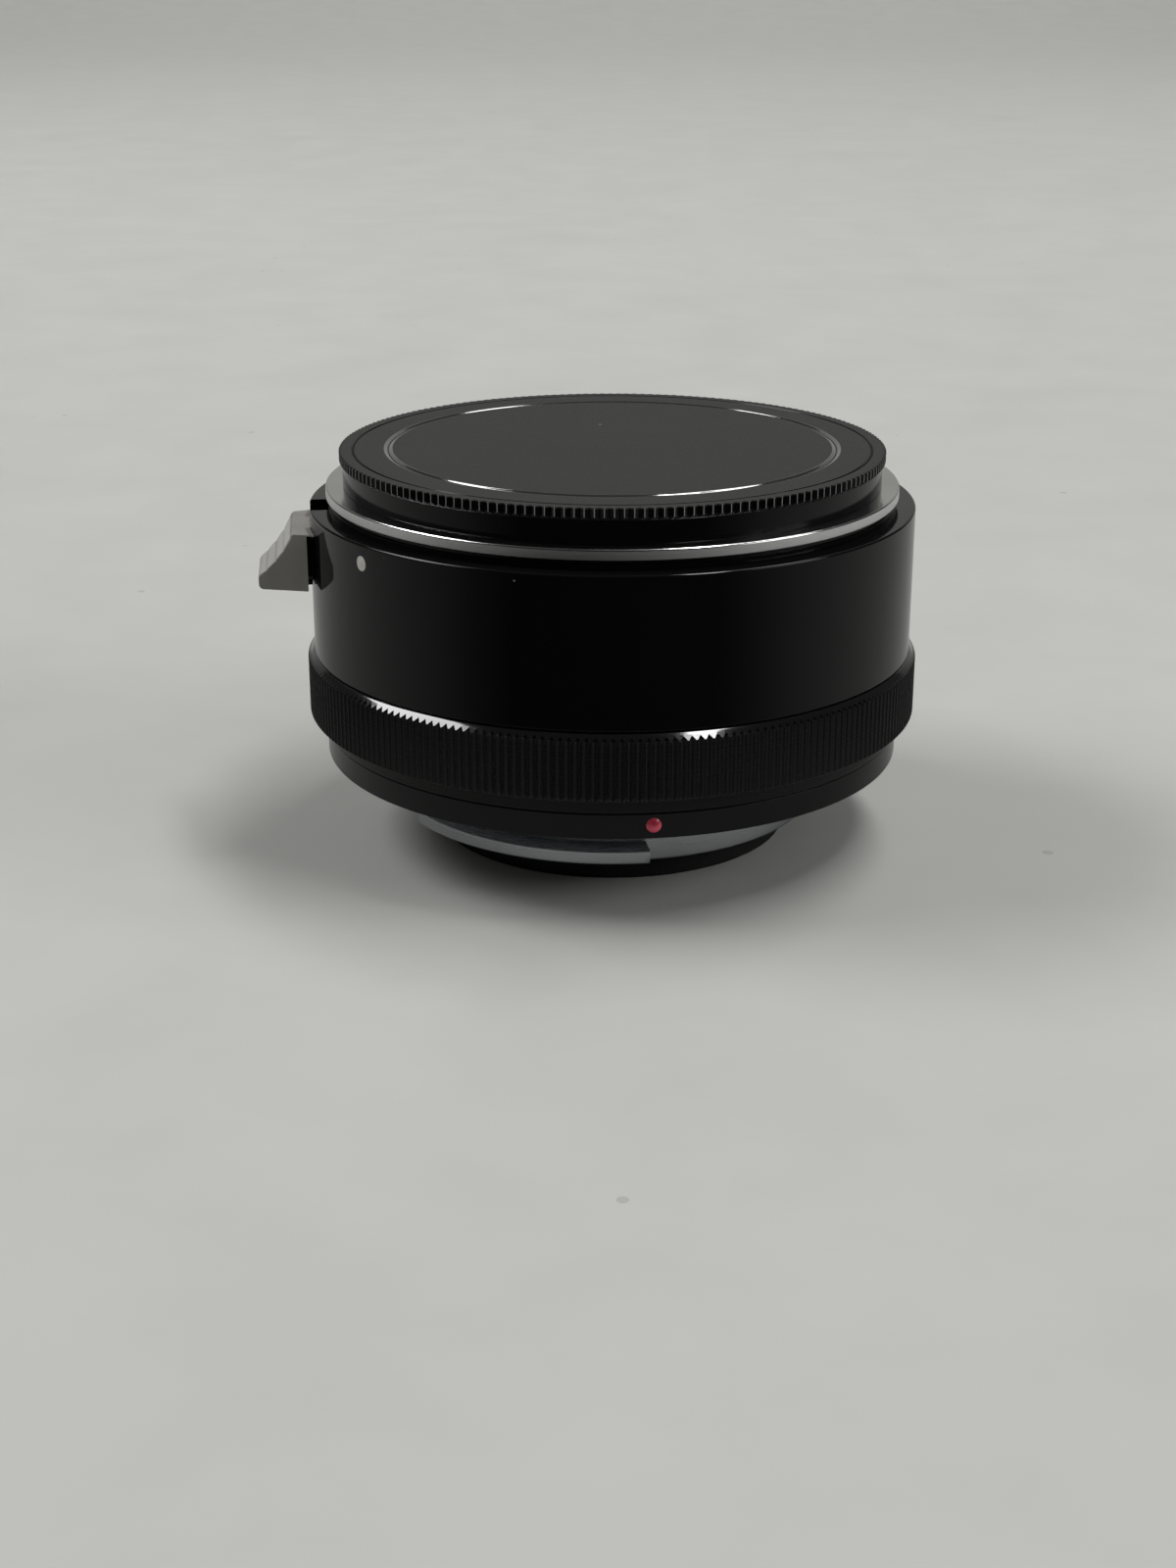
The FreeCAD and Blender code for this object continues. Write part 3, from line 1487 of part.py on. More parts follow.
def make_return_springs():
    """A coil round each guide rod, from the rod's head to the carrier's ledge."""
    wire = size.return_wire_radius.number
    margin = wire + size.pin_fit.number
    foot = rod_head_top.number + margin
    length = ledge_bottom.number - margin - foot
    turns = size.return_coil_turns.number
    radius = size.return_coil_radius.number
    coils = []
    for side in (-1, 1):
        base = Vector(pin_circle.number, side * size.rod_half_spacing.number, foot)
        up = Vector(0, 0, 1)
        out = Vector(1, 0, 0)
        edges = coil_edges(radius, length / turns, turns, base, up, out)
        way = coil_point(0, radius, length / turns, base, up, out, up.cross(out))[1]
        coils.append(wire_solid(edges, way, wire))
    springs = document.addObject("Part::Feature", "lever_return_springs")
    springs.Shape = Part.makeCompound(coils)
    turn_with_tube(springs)
    keep("lever_return_springs", springs)


# Cap
def make_front_cap():
    body = new_body("front_cap_blank")
    plug_bore = bayonet_bore
    plug_radius = bayonet_radius
    skirt_radius = flange_radius - size.cap_skirt_inset
    skirt_bore = skirt_radius - size.cap_skirt_wall
    rim_tip = skirt_radius + size.cap_rib_step + size.cap_rib_depth
    rim_bottom = cap_top - size.cap_rim_height
    groove_outer = skirt_radius - size.cap_groove_inset + size.cap_rib_depth + size.cap_rib_step
    line = rim_tip - size.cap_line_inset
    half_line = size.cap_line_width / 2
    lip = size.cap_lip_radius
    edge = size.cap_skirt_edge
    outline = [
        (plug_bore, cap_lug_bottom),
        (plug_radius - size.lug_edge, cap_lug_bottom),
        (plug_radius, cap_lug_bottom + size.lug_edge),
        (plug_radius, cap_ceiling),
        (skirt_bore, cap_ceiling),
        (skirt_bore, cap_seat + edge),
        (skirt_bore + edge, cap_seat),
        (skirt_radius - edge, cap_seat),
        (skirt_radius, cap_seat + edge),
        (skirt_radius, rim_bottom - size.cap_rib_depth),
        (rim_tip, rim_bottom),
        (rim_tip, cap_top - size.cap_rim_edge),
        (rim_tip - size.cap_rim_edge, cap_top),
        (line + half_line, cap_top),
        (line, cap_top - size.cap_line_depth),
        (line - half_line, cap_top),
        (groove_outer + lip, cap_top, lip),
        (groove_outer, cap_top - lip),
        (groove_outer, cap_recess),
        (zero, cap_recess),
        (zero, cap_ceiling),
        (plug_bore, cap_ceiling),
    ]
    turned(body, "cap_turned", outline)
    gap_angle = size.lug_angle + full_turn / size.lug_count / 2
    cap_lug = turned(body, "cap_lug", lug_outline(lug_radius - size.cap_lug_gap, cap_lug_bottom, cap_lug_top),
                     angle=gap_angle, sweep=size.lug_sweep - size.cap_lug_ease)
    around(body, "cap_lugs", [cap_lug], size.lug_count)
    ribbed("front_cap", body, rim_tip, size.cap_rib_depth, size.cap_rib_count,
           cap_lug_bottom - size.lug_edge, cap_top + size.lug_edge)


def make_cap_disc():
    body = new_body("cap_disc")
    skirt_radius = flange_radius - size.cap_skirt_inset
    groove_outer = skirt_radius - size.cap_groove_inset + size.cap_rib_depth + size.cap_rib_step
    radius = groove_outer - size.cap_groove_width
    top = cap_top + size.cap_disc_rise
    lip = size.cap_lip_radius
    outline = [
        (zero, cap_recess),
        (radius, cap_recess),
        (radius, top - lip, lip),
        (radius - lip, top),
        (zero, top),
    ]
    turned(body, "cap_disc_turned", outline)
    keep("cap_disc", body)


make_outer_barrel()
make_grip_ring()
make_rear_seat_ring()
make_rear_bayonet()
mount_screws("rear_bayonet_screws", zero, land_top - size.screw_end_gap, 1)
make_rear_light_baffle()
make_inner_tube()
make_inner_tube_screws()
make_coupling_ring()
make_coupling_clip()
make_arms()
make_coupling_rivets()
make_spring_posts()
make_coupling_spring()
make_front_flange()
mount_screws("front_flange_screws", front_seat, shoulder_bottom + size.screw_end_gap, -1)
make_front_spacer_ring()
make_mount_spring_ring()
make_index_marks()
make_release_lever()
make_lever_slide_plate()
make_lever_carrier()
make_lever_screws()
make_lock_pin()
make_guide_rods()
make_return_springs()
make_front_cap()
make_cap_disc()
document.recompute()

for thing in document.Objects:
    if {"Invalid", "Error"} & set(thing.State):
        raise RuntimeError(f"{thing.Label} could not be made")
os.makedirs("parts", exist_ok=True)
for name, thing in parts.items():
    shape = thing.Shape
    if shape.isNull() or not shape.isValid():
        raise RuntimeError(f"{name} has no valid shape")
    shape.exportStep(f"parts/{name}.step")
    print(f"{name}: {len(shape.Solids)} solid(s), {shape.Volume:.2f} cubic millimetres")
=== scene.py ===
# %% [markdown]
# # A macro extension tube
# This tube fits between a camera and its lens and holds the lens further out for close-up work.
# It stands on its camera side, and a ribbed cap covers its lens side. The measured pieces are loaded
# first and stay where they are. Each turned or cut piece that shows is then modelled again with the
# small edges that catch the light, and takes the place of its plain twin.

# %% Load the measured pieces
import math

import bmesh
import bpy
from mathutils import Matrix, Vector


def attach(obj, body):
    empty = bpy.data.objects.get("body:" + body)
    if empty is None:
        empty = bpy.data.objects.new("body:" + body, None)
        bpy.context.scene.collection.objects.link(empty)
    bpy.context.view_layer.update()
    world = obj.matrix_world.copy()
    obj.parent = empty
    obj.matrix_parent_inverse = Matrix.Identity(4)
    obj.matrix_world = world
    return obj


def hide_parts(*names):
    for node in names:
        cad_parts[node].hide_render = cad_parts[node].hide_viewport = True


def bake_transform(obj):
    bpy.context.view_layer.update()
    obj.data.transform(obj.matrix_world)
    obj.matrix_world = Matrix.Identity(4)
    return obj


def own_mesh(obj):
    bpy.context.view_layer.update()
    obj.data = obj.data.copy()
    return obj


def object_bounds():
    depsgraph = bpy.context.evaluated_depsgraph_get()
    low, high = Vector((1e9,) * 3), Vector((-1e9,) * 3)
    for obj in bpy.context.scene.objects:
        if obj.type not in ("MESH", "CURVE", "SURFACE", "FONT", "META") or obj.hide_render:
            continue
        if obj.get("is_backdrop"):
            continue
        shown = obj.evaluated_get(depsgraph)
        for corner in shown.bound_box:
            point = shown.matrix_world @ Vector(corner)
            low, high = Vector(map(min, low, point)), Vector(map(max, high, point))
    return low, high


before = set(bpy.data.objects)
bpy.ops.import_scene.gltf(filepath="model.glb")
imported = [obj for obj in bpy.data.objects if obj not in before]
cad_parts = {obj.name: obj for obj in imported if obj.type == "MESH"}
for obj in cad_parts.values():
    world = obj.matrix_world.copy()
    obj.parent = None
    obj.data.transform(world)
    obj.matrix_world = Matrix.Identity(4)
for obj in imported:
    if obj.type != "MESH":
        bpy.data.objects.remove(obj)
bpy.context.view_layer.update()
MM = 0.001
print("measured pieces:", len(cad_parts))

# %% [markdown]
# The camera stands a quarter of a metre away and looks down by about twenty degrees, so the cap's top
# shows as a flat ellipse and the two ends of the barrel curve the same way. The lens is slightly longer
# than normal for its film size, which keeps the ellipses calm.

# %% Camera
CAMERA_PLACE = (-2.585 * MM, -239.83 * MM, 84.36 * MM)
LOOK_DOWN = math.radians(20.47)
LENS_MM = 52.0
FILM_MM = 36.0
NEAREST_SEEN = 0.01
bpy.ops.object.camera_add(location=CAMERA_PLACE, rotation=(math.radians(90) - LOOK_DOWN, 0, 0))
camera = bpy.context.object
camera.name = "camera"
camera.data.lens = LENS_MM
camera.data.sensor_width = FILM_MM
camera.data.clip_start = NEAREST_SEEN
bpy.context.scene.camera = camera
print("camera height in mm:", CAMERA_PLACE[2] / MM)

# %% [markdown]
# Shader maths reads best as plain sums. A socket is wrapped in a small class whose operators add the
# matching Math nodes, so that a mask can be written as an expression, and a finish is a small class
# that adds every other kind of node with one method.


# %% Sums of sockets
def operator(operation):
    """A method that adds one kind of Math node."""
    return lambda signal, *others: signal.maths(operation, signal, *others)


class Signal:
    """A node's output that can be added, multiplied and compared like a number."""

    __add__ = __radd__ = operator("ADD")
    __sub__ = operator("SUBTRACT")
    __mul__ = __rmul__ = operator("MULTIPLY")
    __truediv__ = operator("DIVIDE")
    __pow__ = operator("POWER")
    __gt__ = operator("GREATER_THAN")
    __lt__ = operator("LESS_THAN")
    __abs__ = operator("ABSOLUTE")

    def __init__(self, finish, socket):
        self.finish = finish
        self.socket = socket

    def maths(self, operation, *values):
        inputs = dict(enumerate(values))
        return self.finish.node("ShaderNodeMath", {"operation": operation}, inputs)

    def __rsub__(self, other):
        return self.maths("SUBTRACT", other, self)

    def ramp(self, *stops):
        """The signal through a colour ramp of (position, grey) stops."""
        colours = [(place, (grey, grey, grey, 1)) for place, grey in stops]
        return self.finish.node("ShaderNodeValToRGB", {"stops": colours}, {0: self})


# %% A finish and its nodes
MIX_SHARE = 0
MIX_FIRST = 6
MIX_SECOND = 7
MIX_RESULT = 2


class Finish:
    """A material made of nodes, with one Principled shader."""

    def __init__(self, name, **uniform):
        self.material = bpy.data.materials.new(name)
        self.material.use_nodes = True
        self.tree = self.material.node_tree
        self.shader = self.tree.nodes["Principled BSDF"]
        for socket, value in uniform.items():
            self.shader.inputs[socket.replace("_", " ")].default_value = value

    def connect(self, value, socket):
        if isinstance(value, Signal):
            self.tree.links.new(value.socket, socket)
        else:
            socket.default_value = value

    def node(self, kind, settings=None, inputs=None, output=0):
        """Add a node, set it up, connect its inputs and give one of its outputs."""
        node = self.tree.nodes.new(kind)
        for name, value in (settings or {}).items():
            if name == "stops":
                elements = node.color_ramp.elements
                while len(elements) < len(value):
                    elements.new(0.5)
                for element, (place, colour) in zip(elements, value):
                    element.position = place
                    element.color = colour
            else:
                setattr(node, name, value)
        for key, value in (inputs or {}).items():
            self.connect(value, node.inputs[key])
        return Signal(self, node.outputs[output])

    def vary(self, **sockets):
        """Connect what changes over the surface to the shader."""
        for name, value in sockets.items():
            self.connect(value, self.shader.inputs[name.replace("_", " ")])

    def place(self):
        return self.node("ShaderNodeTexCoord", output="Object")

    def parts_of(self, vector):
        split = self.node("ShaderNodeSeparateXYZ", inputs={0: vector})
        node = split.socket.node
        return [Signal(self, node.outputs[axis]) for axis in range(3)]

    def from_axis(self):
        """The distance from the optical axis and the height along it, in metres."""
        x, y, z = self.parts_of(self.place())
        return (x * x + y * y) ** 0.5, z

    def vector(self, x, y, z):
        return self.node("ShaderNodeCombineXYZ", inputs={0: x, 1: y, 2: z})

    def noise(self, scale, vector=None, detail=2.0, roughness=0.5):
        inputs = {
            "Vector": vector or self.place(),
            "Scale": scale,
            "Detail": detail,
            "Roughness": roughness,
        }
        return self.node("ShaderNodeTexNoise", inputs=inputs)

    def mix_colour(self, share, first, second):
        """One colour over another by a share, which may be a signal."""
        settings = {"data_type": "RGBA", "blend_type": "MIX"}
        inputs = {MIX_SHARE: share, MIX_FIRST: first, MIX_SECOND: second}
        return self.node("ShaderNodeMix", settings, inputs, output=MIX_RESULT)

    def bump(self, height, depth_mm):
        inputs = {"Height": height, "Distance": depth_mm * MM}
        self.vary(Normal=self.node("ShaderNodeBump", inputs=inputs))


# %% [markdown]
# Small marks tell the eye how big a thing is. Dust is a few sparse pale grains, and a turned surface
# keeps the fine rings of the lathe tool. Both read the Object coordinates, so they stay where they are
# on the piece, and both are helpers because most finishes use them.


# %% Dust and lathe rings
GRAIN_RADIUS = 0.03
GRAIN_SPREAD = 0.09
WAVINESS = 0.15


def dust(finish, grains_per_m, share, seed=0.0):
    """A mask of sparse round grains: a share of the cells holds one, its radius a part of a cell."""
    inputs = {0: finish.place(), 1: (seed, seed, seed)}
    moved = finish.node("ShaderNodeVectorMath", {"operation": "ADD"}, inputs)
    inputs = {"Vector": moved, "Scale": grains_per_m}
    cells = finish.node("ShaderNodeTexVoronoi", {"feature": "F1"}, inputs).socket.node
    distance = Signal(finish, cells.outputs["Distance"])
    chance, size = finish.parts_of(Signal(finish, cells.outputs["Color"]))[:2]
    return (distance < size * GRAIN_SPREAD + GRAIN_RADIUS) * (chance < share)


def lathe_rings(finish, rings_per_mm):
    """Fine rings round the optical axis, on the faces as well as on the walls."""
    x, y, z = finish.parts_of(finish.place())
    radius = (x * x + y * y) ** 0.5
    turn = finish.node("ShaderNodeMath", {"operation": "ARCTAN2"}, {0: y, 1: x})
    rings_per_m = rings_per_mm / MM
    lines = finish.vector(radius * rings_per_m, z * rings_per_m, turn * WAVINESS)
    return finish.noise(1.0, lines, detail=3.0, roughness=0.65)


# %% [markdown]
# The barrel is turned aluminium under a thick glossy black enamel. It mirrors its surroundings at the
# sides, where one looks along the surface, and is nearly black where one looks straight at it, so its
# index of refraction is set low. A faint unevenness keeps the mirror from looking drawn. The rings are
# anodised a satin black that keeps the lines of the lathe, the grooves between the grip's ribs are
# painted a lighter black as painted light that lifts their shade, and the light path is painted dull.
# One function makes every satin black, because they differ in little.

# %% Black finishes
ENAMEL = (0.0035, 0.0035, 0.0040, 1)
SATIN = (0.0042, 0.0042, 0.0047, 1)
GREY_DUST = (0.16, 0.155, 0.15, 1)
RIB_GROOVE_LIGHT = (0.019, 0.019, 0.020, 1)
SLOPE_POLISH = 0.6
GRIP_RIBS = (5.1, 11.45, 33.12)


def black_enamel():
    finish = Finish("black_enamel", IOR=1.30)
    grains = dust(finish, grains_per_m=620.0, share=0.030)
    finish.vary(
        Base_Color=finish.mix_colour(grains, ENAMEL, GREY_DUST),
        Roughness=finish.noise(160.0).ramp((0.3, 0.045), (0.7, 0.085)) + grains * 0.5,
    )
    finish.bump(finish.noise(260.0, detail=1.0), 0.0022)
    return finish.material


def satin_black(name, low, high, ring_depth_mm, ribs=None):
    """Black anodised metal that shows its lathe rings. Ribs, given by their lowest and highest point
    and the radius of their backs in mm, are painted lighter between them, a painted light that lifts
    the shade in their grooves, and end in a polished slope."""
    finish = Finish(name, IOR=1.29, Coat_IOR=1.6, Coat_Roughness=0.09)
    grains = dust(finish, grains_per_m=540.0, share=0.035, seed=0.31)
    rings = lathe_rings(finish, rings_per_mm=9.0)
    black = SATIN
    rough = rings.ramp((0.3, low), (0.7, high)) + grains * 0.3
    if ribs:
        foot, top, backs = ribs
        radius, height = finish.from_axis()
        polished = height > top * MM
        # Painted light: between the ribs the black is lighter, to lift the shade the ribs cast on each
        # other.
        between = (height > foot * MM) * (1 - polished) * (radius < backs * MM)
        black = finish.mix_colour(between, SATIN, RIB_GROOVE_LIGHT)
        rough = rough * (1 - polished * SLOPE_POLISH)
        finish.vary(Coat_Weight=polished)
    finish.vary(Base_Color=finish.mix_colour(grains, black, GREY_DUST), Roughness=rough)
    finish.bump(rings, ring_depth_mm)
    return finish.material


def flat_black():
    """Dull paint inside the light path."""
    finish = Finish("flat_black", IOR=1.35)
    grain = finish.noise(2600.0, detail=4.0, roughness=0.7)
    finish.vary(
        Base_Color=finish.mix_colour(grain, (0.004, 0.004, 0.004, 1), (0.009, 0.009, 0.009, 1)),
        Roughness=grain.ramp((0.3, 0.55), (0.7, 0.75)),
    )
    finish.bump(grain, 0.012)
    return finish.material


enamel = black_enamel()
ring_black = satin_black("ring_black", 0.20, 0.32, 0.0025, ribs=GRIP_RIBS)
spacer_black = satin_black("spacer_black", 0.12, 0.2, 0.002)
steel_black = satin_black("blackened_steel", 0.32, 0.45, 0.002)
inner_black = flat_black()
print("black finishes: 5")

# %% [markdown]
# The two bayonets are chromed. The lens side has a dull wall under a polished edge, and the camera side
# is smoother, with a darker tint that is painted shade for the dim place it has low under the tube. Fine
# lathe rings spread their highlights along each ring. The screws, springs and the brass inside are other
# metals of the same kind, so they only get another tint and smoothness.

# %% Bright metals
EDGE_ROUGHNESS = 0.16
SMEAR_SHADE = 0.86


def satin_chrome(name, tint, low, high, rings_per_mm=7.0, edge_height=None):
    """A turned metal with faint smears, which may have a polished edge above a height in mm."""
    finish = Finish(name, Metallic=1.0)
    rings = lathe_rings(finish, rings_per_mm)
    smear = finish.noise(85.0, detail=3.0)
    rough = rings.ramp((0.25, low), (0.75, high)) + smear * 0.05
    if edge_height:
        edge = finish.from_axis()[1] > edge_height * MM
        rough = rough * (1 - edge) + edge * EDGE_ROUGHNESS
    smeared = tuple(channel * SMEAR_SHADE for channel in tint[:3]) + (1,)
    finish.vary(
        Base_Color=finish.mix_colour(smear.ramp((0.35, 0), (0.7, 1)), tint, smeared),
        Roughness=rough,
    )
    finish.bump(rings, 0.0016)
    return finish.material


lens_side_chrome = satin_chrome("lens_side_chrome", (0.80, 0.80, 0.79, 1), 0.50, 0.62, edge_height=29.82)
# Painted shade: the camera side's tint is darker than the lens side's, for the dark it mirrors under the
# tube.
camera_side_chrome_in_shade = satin_chrome("camera_side_chrome_in_shade", (0.47, 0.48, 0.50, 1), 0.16, 0.30)
screw_steel = satin_chrome("screw_steel", (0.56, 0.55, 0.52, 1), 0.2, 0.34, 14.0)
spring_steel = satin_chrome("spring_steel", (0.42, 0.41, 0.40, 1), 0.22, 0.36, 14.0)
coupling_brass = satin_chrome("coupling_brass", (0.17, 0.14, 0.09, 1), 0.3, 0.5)
print("bright metals: 5")

# %% [markdown]
# The cap is moulded in dark grey plastic with a very fine grain, which spreads the light so that its
# top shows one even grey. The mould was polished where the skirt and the lips of the groove lie, so a
# mask by height and by distance from the axis makes these places smoother and blacker.

# %% Cap plastic
SKIRT = 28.8
SKIRT_TOP = 32.42
UNDERSIDE = SKIRT + 0.03
RIM_FOOT = 32.74
RIM_WALL = 28.72
RIM_WALL_TOP = 33.5
RIB_HIGHLIGHT_FROM = 29.13
GROOVE_MIDDLE = 23.9
LIP_REACH = 0.46
GAP_REACH = 0.10
LINE = 27.64
LINE_REACH = 0.15
CAP_GREY = (0.0200, 0.0200, 0.0194, 1)
CAP_CLOUD = (0.0178, 0.0178, 0.0172, 1)
CAP_BLACK = (0.003, 0.003, 0.0035, 1)
RIB_TIP_HIGHLIGHT = (0.24, 0.24, 0.235, 1)
POLISHED = 0.13
LIP_GLOSS = -0.04


def ring_mask(radius, middle, reach):
    """A narrow ring round the optical axis, by its middle and its reach to each side in mm."""
    return abs(radius - middle * MM) < reach * MM


def cap_plastic():
    finish = Finish("cap_plastic", IOR=1.31, Coat_IOR=2.0, Coat_Roughness=0.06)
    radius, height = finish.from_axis()
    rim = (radius > RIM_WALL * MM) * (height < RIM_WALL_TOP * MM)
    # Painted shade: the fine line round the top and the bottom of the groove are painted black with the
    # sides, wider than the dark their narrow recesses show.
    lines = ring_mask(radius, LINE, LINE_REACH) + ring_mask(radius, GROOVE_MIDDLE, GAP_REACH)
    sides = 1 - (1 - rim) * (1 - lines) * (height > SKIRT_TOP * MM)
    under = (radius > UNDERSIDE * MM) * (height < RIM_FOOT * MM)
    lips = ring_mask(radius, GROOVE_MIDDLE, LIP_REACH)
    grain = finish.noise(6200.0, detail=3.0, roughness=0.6)
    clouds = finish.noise(60.0)
    grains = dust(finish, grains_per_m=480.0, share=0.030, seed=0.57)
    black = finish.mix_colour(sides, finish.mix_colour(clouds, CAP_GREY, CAP_CLOUD), CAP_BLACK)
    # Painted highlight: the backs of the rim's ribs are painted light grey, for the thin glints they
    # catch.
    shade = finish.mix_colour(radius > RIB_HIGHLIGHT_FROM * MM, black, RIB_TIP_HIGHLIGHT)
    rough = grain.ramp((0.3, 0.42), (0.7, 0.56)) + clouds * 0.05
    polish = (sides + lips * (1 - sides)) * (1 - under)
    finish.vary(
        Base_Color=finish.mix_colour(grains, shade, GREY_DUST),
        Roughness=rough * (1 - polish) + polish * (lips * LIP_GLOSS + POLISHED),
        Coat_Weight=lips * (1 - sides),
    )
    finish.bump(grain * (1 - polish * 0.8), 0.010)
    return finish.material


cap_grained = cap_plastic()
print("cap plastic: 1")


# %% [markdown]
# The index dot is filled with off-white paint, and the bead is red enamel with a slightly darker
# middle. Two close shades of each colour flow into each other, as paint does in a small pit.


# %% Index marks
def mark_paint(name, colour, shade, roughness):
    finish = Finish(name, IOR=1.5)
    flow = finish.noise(900.0, detail=2.0)
    finish.vary(
        Base_Color=finish.mix_colour(flow.ramp((0.4, 0), (0.7, 1)), colour, shade),
        Roughness=flow * 0.1 + roughness,
    )
    finish.bump(flow, 0.01)
    return finish.material


white_paint = mark_paint("white_paint", (0.50, 0.485, 0.45, 1), (0.34, 0.32, 0.29, 1), 0.40)
red_enamel = mark_paint("red_enamel", (0.66, 0.085, 0.13, 1), (0.38, 0.03, 0.055, 1), 0.12)
print("mark paints: 2")

# %% [markdown]
# Nearly every piece of a tube is made on a lathe, so the main helper draws a section and spins it. The
# section is drawn as by hand: one vertex is extruded from corner to corner, the outline is filled, and
# corners that a file has broken are rounded before the spin, because that is much easier on a flat
# section than on a ring. Angles are counted from the release lever, as a drawing of the tube has them,
# and corners are given in mm.

# %% Places and selection
LEVER_ANGLE = 186.5
UP = Vector((0, 0, 1))
AXIS = Vector((0, 0, 0))
CLOSE = 1e-7


def way(angle):
    """A direction square to the optical axis, counted from the release lever."""
    turn = math.radians(LEVER_ANGLE + angle)
    return Vector((math.cos(turn), math.sin(turn), 0))


def at(radius, angle, height):
    """A place from its radius, its angle from the lever and its height in mm."""
    return (way(angle) * radius + UP * height) * MM


def stop_editing():
    if bpy.context.mode != "OBJECT":
        bpy.ops.object.mode_set(mode="OBJECT")


def only(piece):
    """Select one piece and nothing else."""
    stop_editing()
    bpy.ops.object.select_all(action="DESELECT")
    piece.select_set(True)
    bpy.context.view_layer.objects.active = piece


def edit(piece):
    only(piece)
    bpy.ops.object.mode_set(mode="EDIT")
    bpy.ops.mesh.select_all(action="SELECT")


def pick(kind, test):
    """In edit mode, select only the corners, edges or faces that pass a test."""
    bpy.ops.mesh.select_mode(type=kind)
    bpy.ops.mesh.select_all(action="DESELECT")
    data = bpy.context.object.data
    shape = bmesh.from_edit_mesh(data)
    groups = {"VERT": shape.verts, "EDGE": shape.edges, "FACE": shape.faces}
    chosen = [element for element in groups[kind] if test(element)]
    for element in chosen:
        element.select_set(True)
    bmesh.update_edit_mesh(data)
    return len(chosen)


def tidy_normals():
    """In edit mode, merge what lies together and turn every face outwards."""
    bpy.ops.mesh.select_all(action="SELECT")
    bpy.ops.mesh.remove_doubles(threshold=CLOSE)
    bpy.ops.mesh.normals_make_consistent(inside=False)


# %% Drawing a flat section
def line_of(name, places):
    """One vertex extruded from place to place in metres, all selected and left in edit mode."""
    stop_editing()
    bpy.ops.object.select_all(action="DESELECT")
    bpy.ops.mesh.primitive_plane_add(size=MM)
    piece = bpy.context.object
    piece.name = name
    piece.data.name = name
    bpy.ops.object.mode_set(mode="EDIT")
    bpy.ops.mesh.merge(type="CENTER")
    bpy.ops.transform.translate(value=places[0])
    for before, after in zip(places, places[1:]):
        bpy.ops.mesh.extrude_vertices_move(TRANSFORM_OT_translate={"value": after - before})
    bpy.ops.mesh.select_all(action="SELECT")
    return piece


def drawn(name, places, roundings=()):
    """A filled outline with some of its corners rounded, left in edit mode."""
    piece = line_of(name, places)
    bpy.ops.mesh.edge_face_add()
    for place, rounding in roundings:
        pick("VERT", lambda corner: (corner.co - place).length < CLOSE)
        bpy.ops.mesh.bevel(affect="VERTICES", offset=rounding * MM, segments=4)
    bpy.ops.mesh.select_mode(type="VERT")
    bpy.ops.mesh.select_all(action="SELECT")
    return piece


def placed(corners, centre, out, up):
    """The places and the roundings of (distance from the axis, height along it, rounding) corners."""
    places = [centre + (out * corner[0] + up * corner[1]) * MM for corner in corners]
    roundings = [(place, corner[2]) for place, corner in zip(places, corners) if len(corner) > 2]
    return places, roundings


def oblong(inner, outer, low, high):
    """The four corners of an upright oblong."""
    return [(inner, low), (outer, low), (outer, high), (inner, high)]


# %% Spinning a section
RING_STEPS = 240
TUBE_STEPS = 192


def turned(name, corners, steps=RING_STEPS, centre=AXIS, out=None, up=UP):
    """A section spun right round an axis."""

    def on_axis(corner):
        return (corner.co - centre).cross(up).length < CLOSE

    piece = drawn(name, *placed(corners, centre, out or way(0), up))
    bpy.ops.mesh.delete(type="ONLY_FACE")
    if pick("EDGE", lambda edge: on_axis(edge.verts[0]) and on_axis(edge.verts[1])):
        bpy.ops.mesh.delete(type="EDGE")
    bpy.ops.mesh.select_mode(type="VERT")
    bpy.ops.mesh.select_all(action="SELECT")
    bpy.ops.mesh.spin(steps=steps, angle=math.tau, center=centre, axis=up)
    tidy_normals()
    stop_editing()
    return piece


def swept(name, corners, angle, sweep, steps=32):
    """A section carried part of the way round the optical axis, with its middle at an angle."""
    piece = drawn(name, *placed(corners, AXIS, way(angle + sweep / 2), UP))
    bpy.ops.mesh.spin(steps=steps, angle=math.radians(sweep), center=AXIS, axis=UP)
    tidy_normals()
    stop_editing()
    return piece


def prism(name, places, along, roundings=()):
    """A filled outline carried straight along a way in metres."""
    piece = drawn(name, places, roundings)
    bpy.ops.mesh.extrude_region_move(TRANSFORM_OT_translate={"value": along})
    tidy_normals()
    stop_editing()
    return piece


def across(name, corners, width, angle=0.0):
    """A section in the plane through the axis, carried to both sides of it by half a width."""
    out = way(angle)
    side = UP.cross(out)
    places, roundings = placed(corners, side * (-width / 2 * MM), out, UP)
    return prism(name, places, side * (width * MM), roundings)


# %% Cutting, joining, repeating and smoothing
def shaped(piece, tool, operation="DIFFERENCE"):
    """Cut a tool out of a piece, or fuse the two."""
    only(piece)
    change = piece.modifiers.new("shaped", "BOOLEAN")
    change.operation = operation
    change.solver = "EXACT"
    change.object = tool
    bpy.ops.object.modifier_apply(modifier=change.name)
    bpy.data.objects.remove(tool, do_unlink=True)
    return piece


def round_the_axis(piece, count):
    """Copies of a piece at even steps round the optical axis, in one mesh."""
    stop_editing()
    bpy.ops.object.empty_add(rotation=(0, 0, math.tau / count))
    step = bpy.context.object
    only(piece)
    copies = piece.modifiers.new("copies", "ARRAY")
    copies.use_relative_offset = False
    copies.use_object_offset = True
    copies.offset_object = step
    copies.count = count
    bpy.ops.object.modifier_apply(modifier=copies.name)
    bpy.data.objects.remove(step, do_unlink=True)
    return piece


def joined(*pieces):
    """Several meshes as one piece, which keeps the first one's name."""
    only(pieces[0])
    for piece in pieces[1:]:
        piece.select_set(True)
    bpy.ops.object.join()
    return pieces[0]


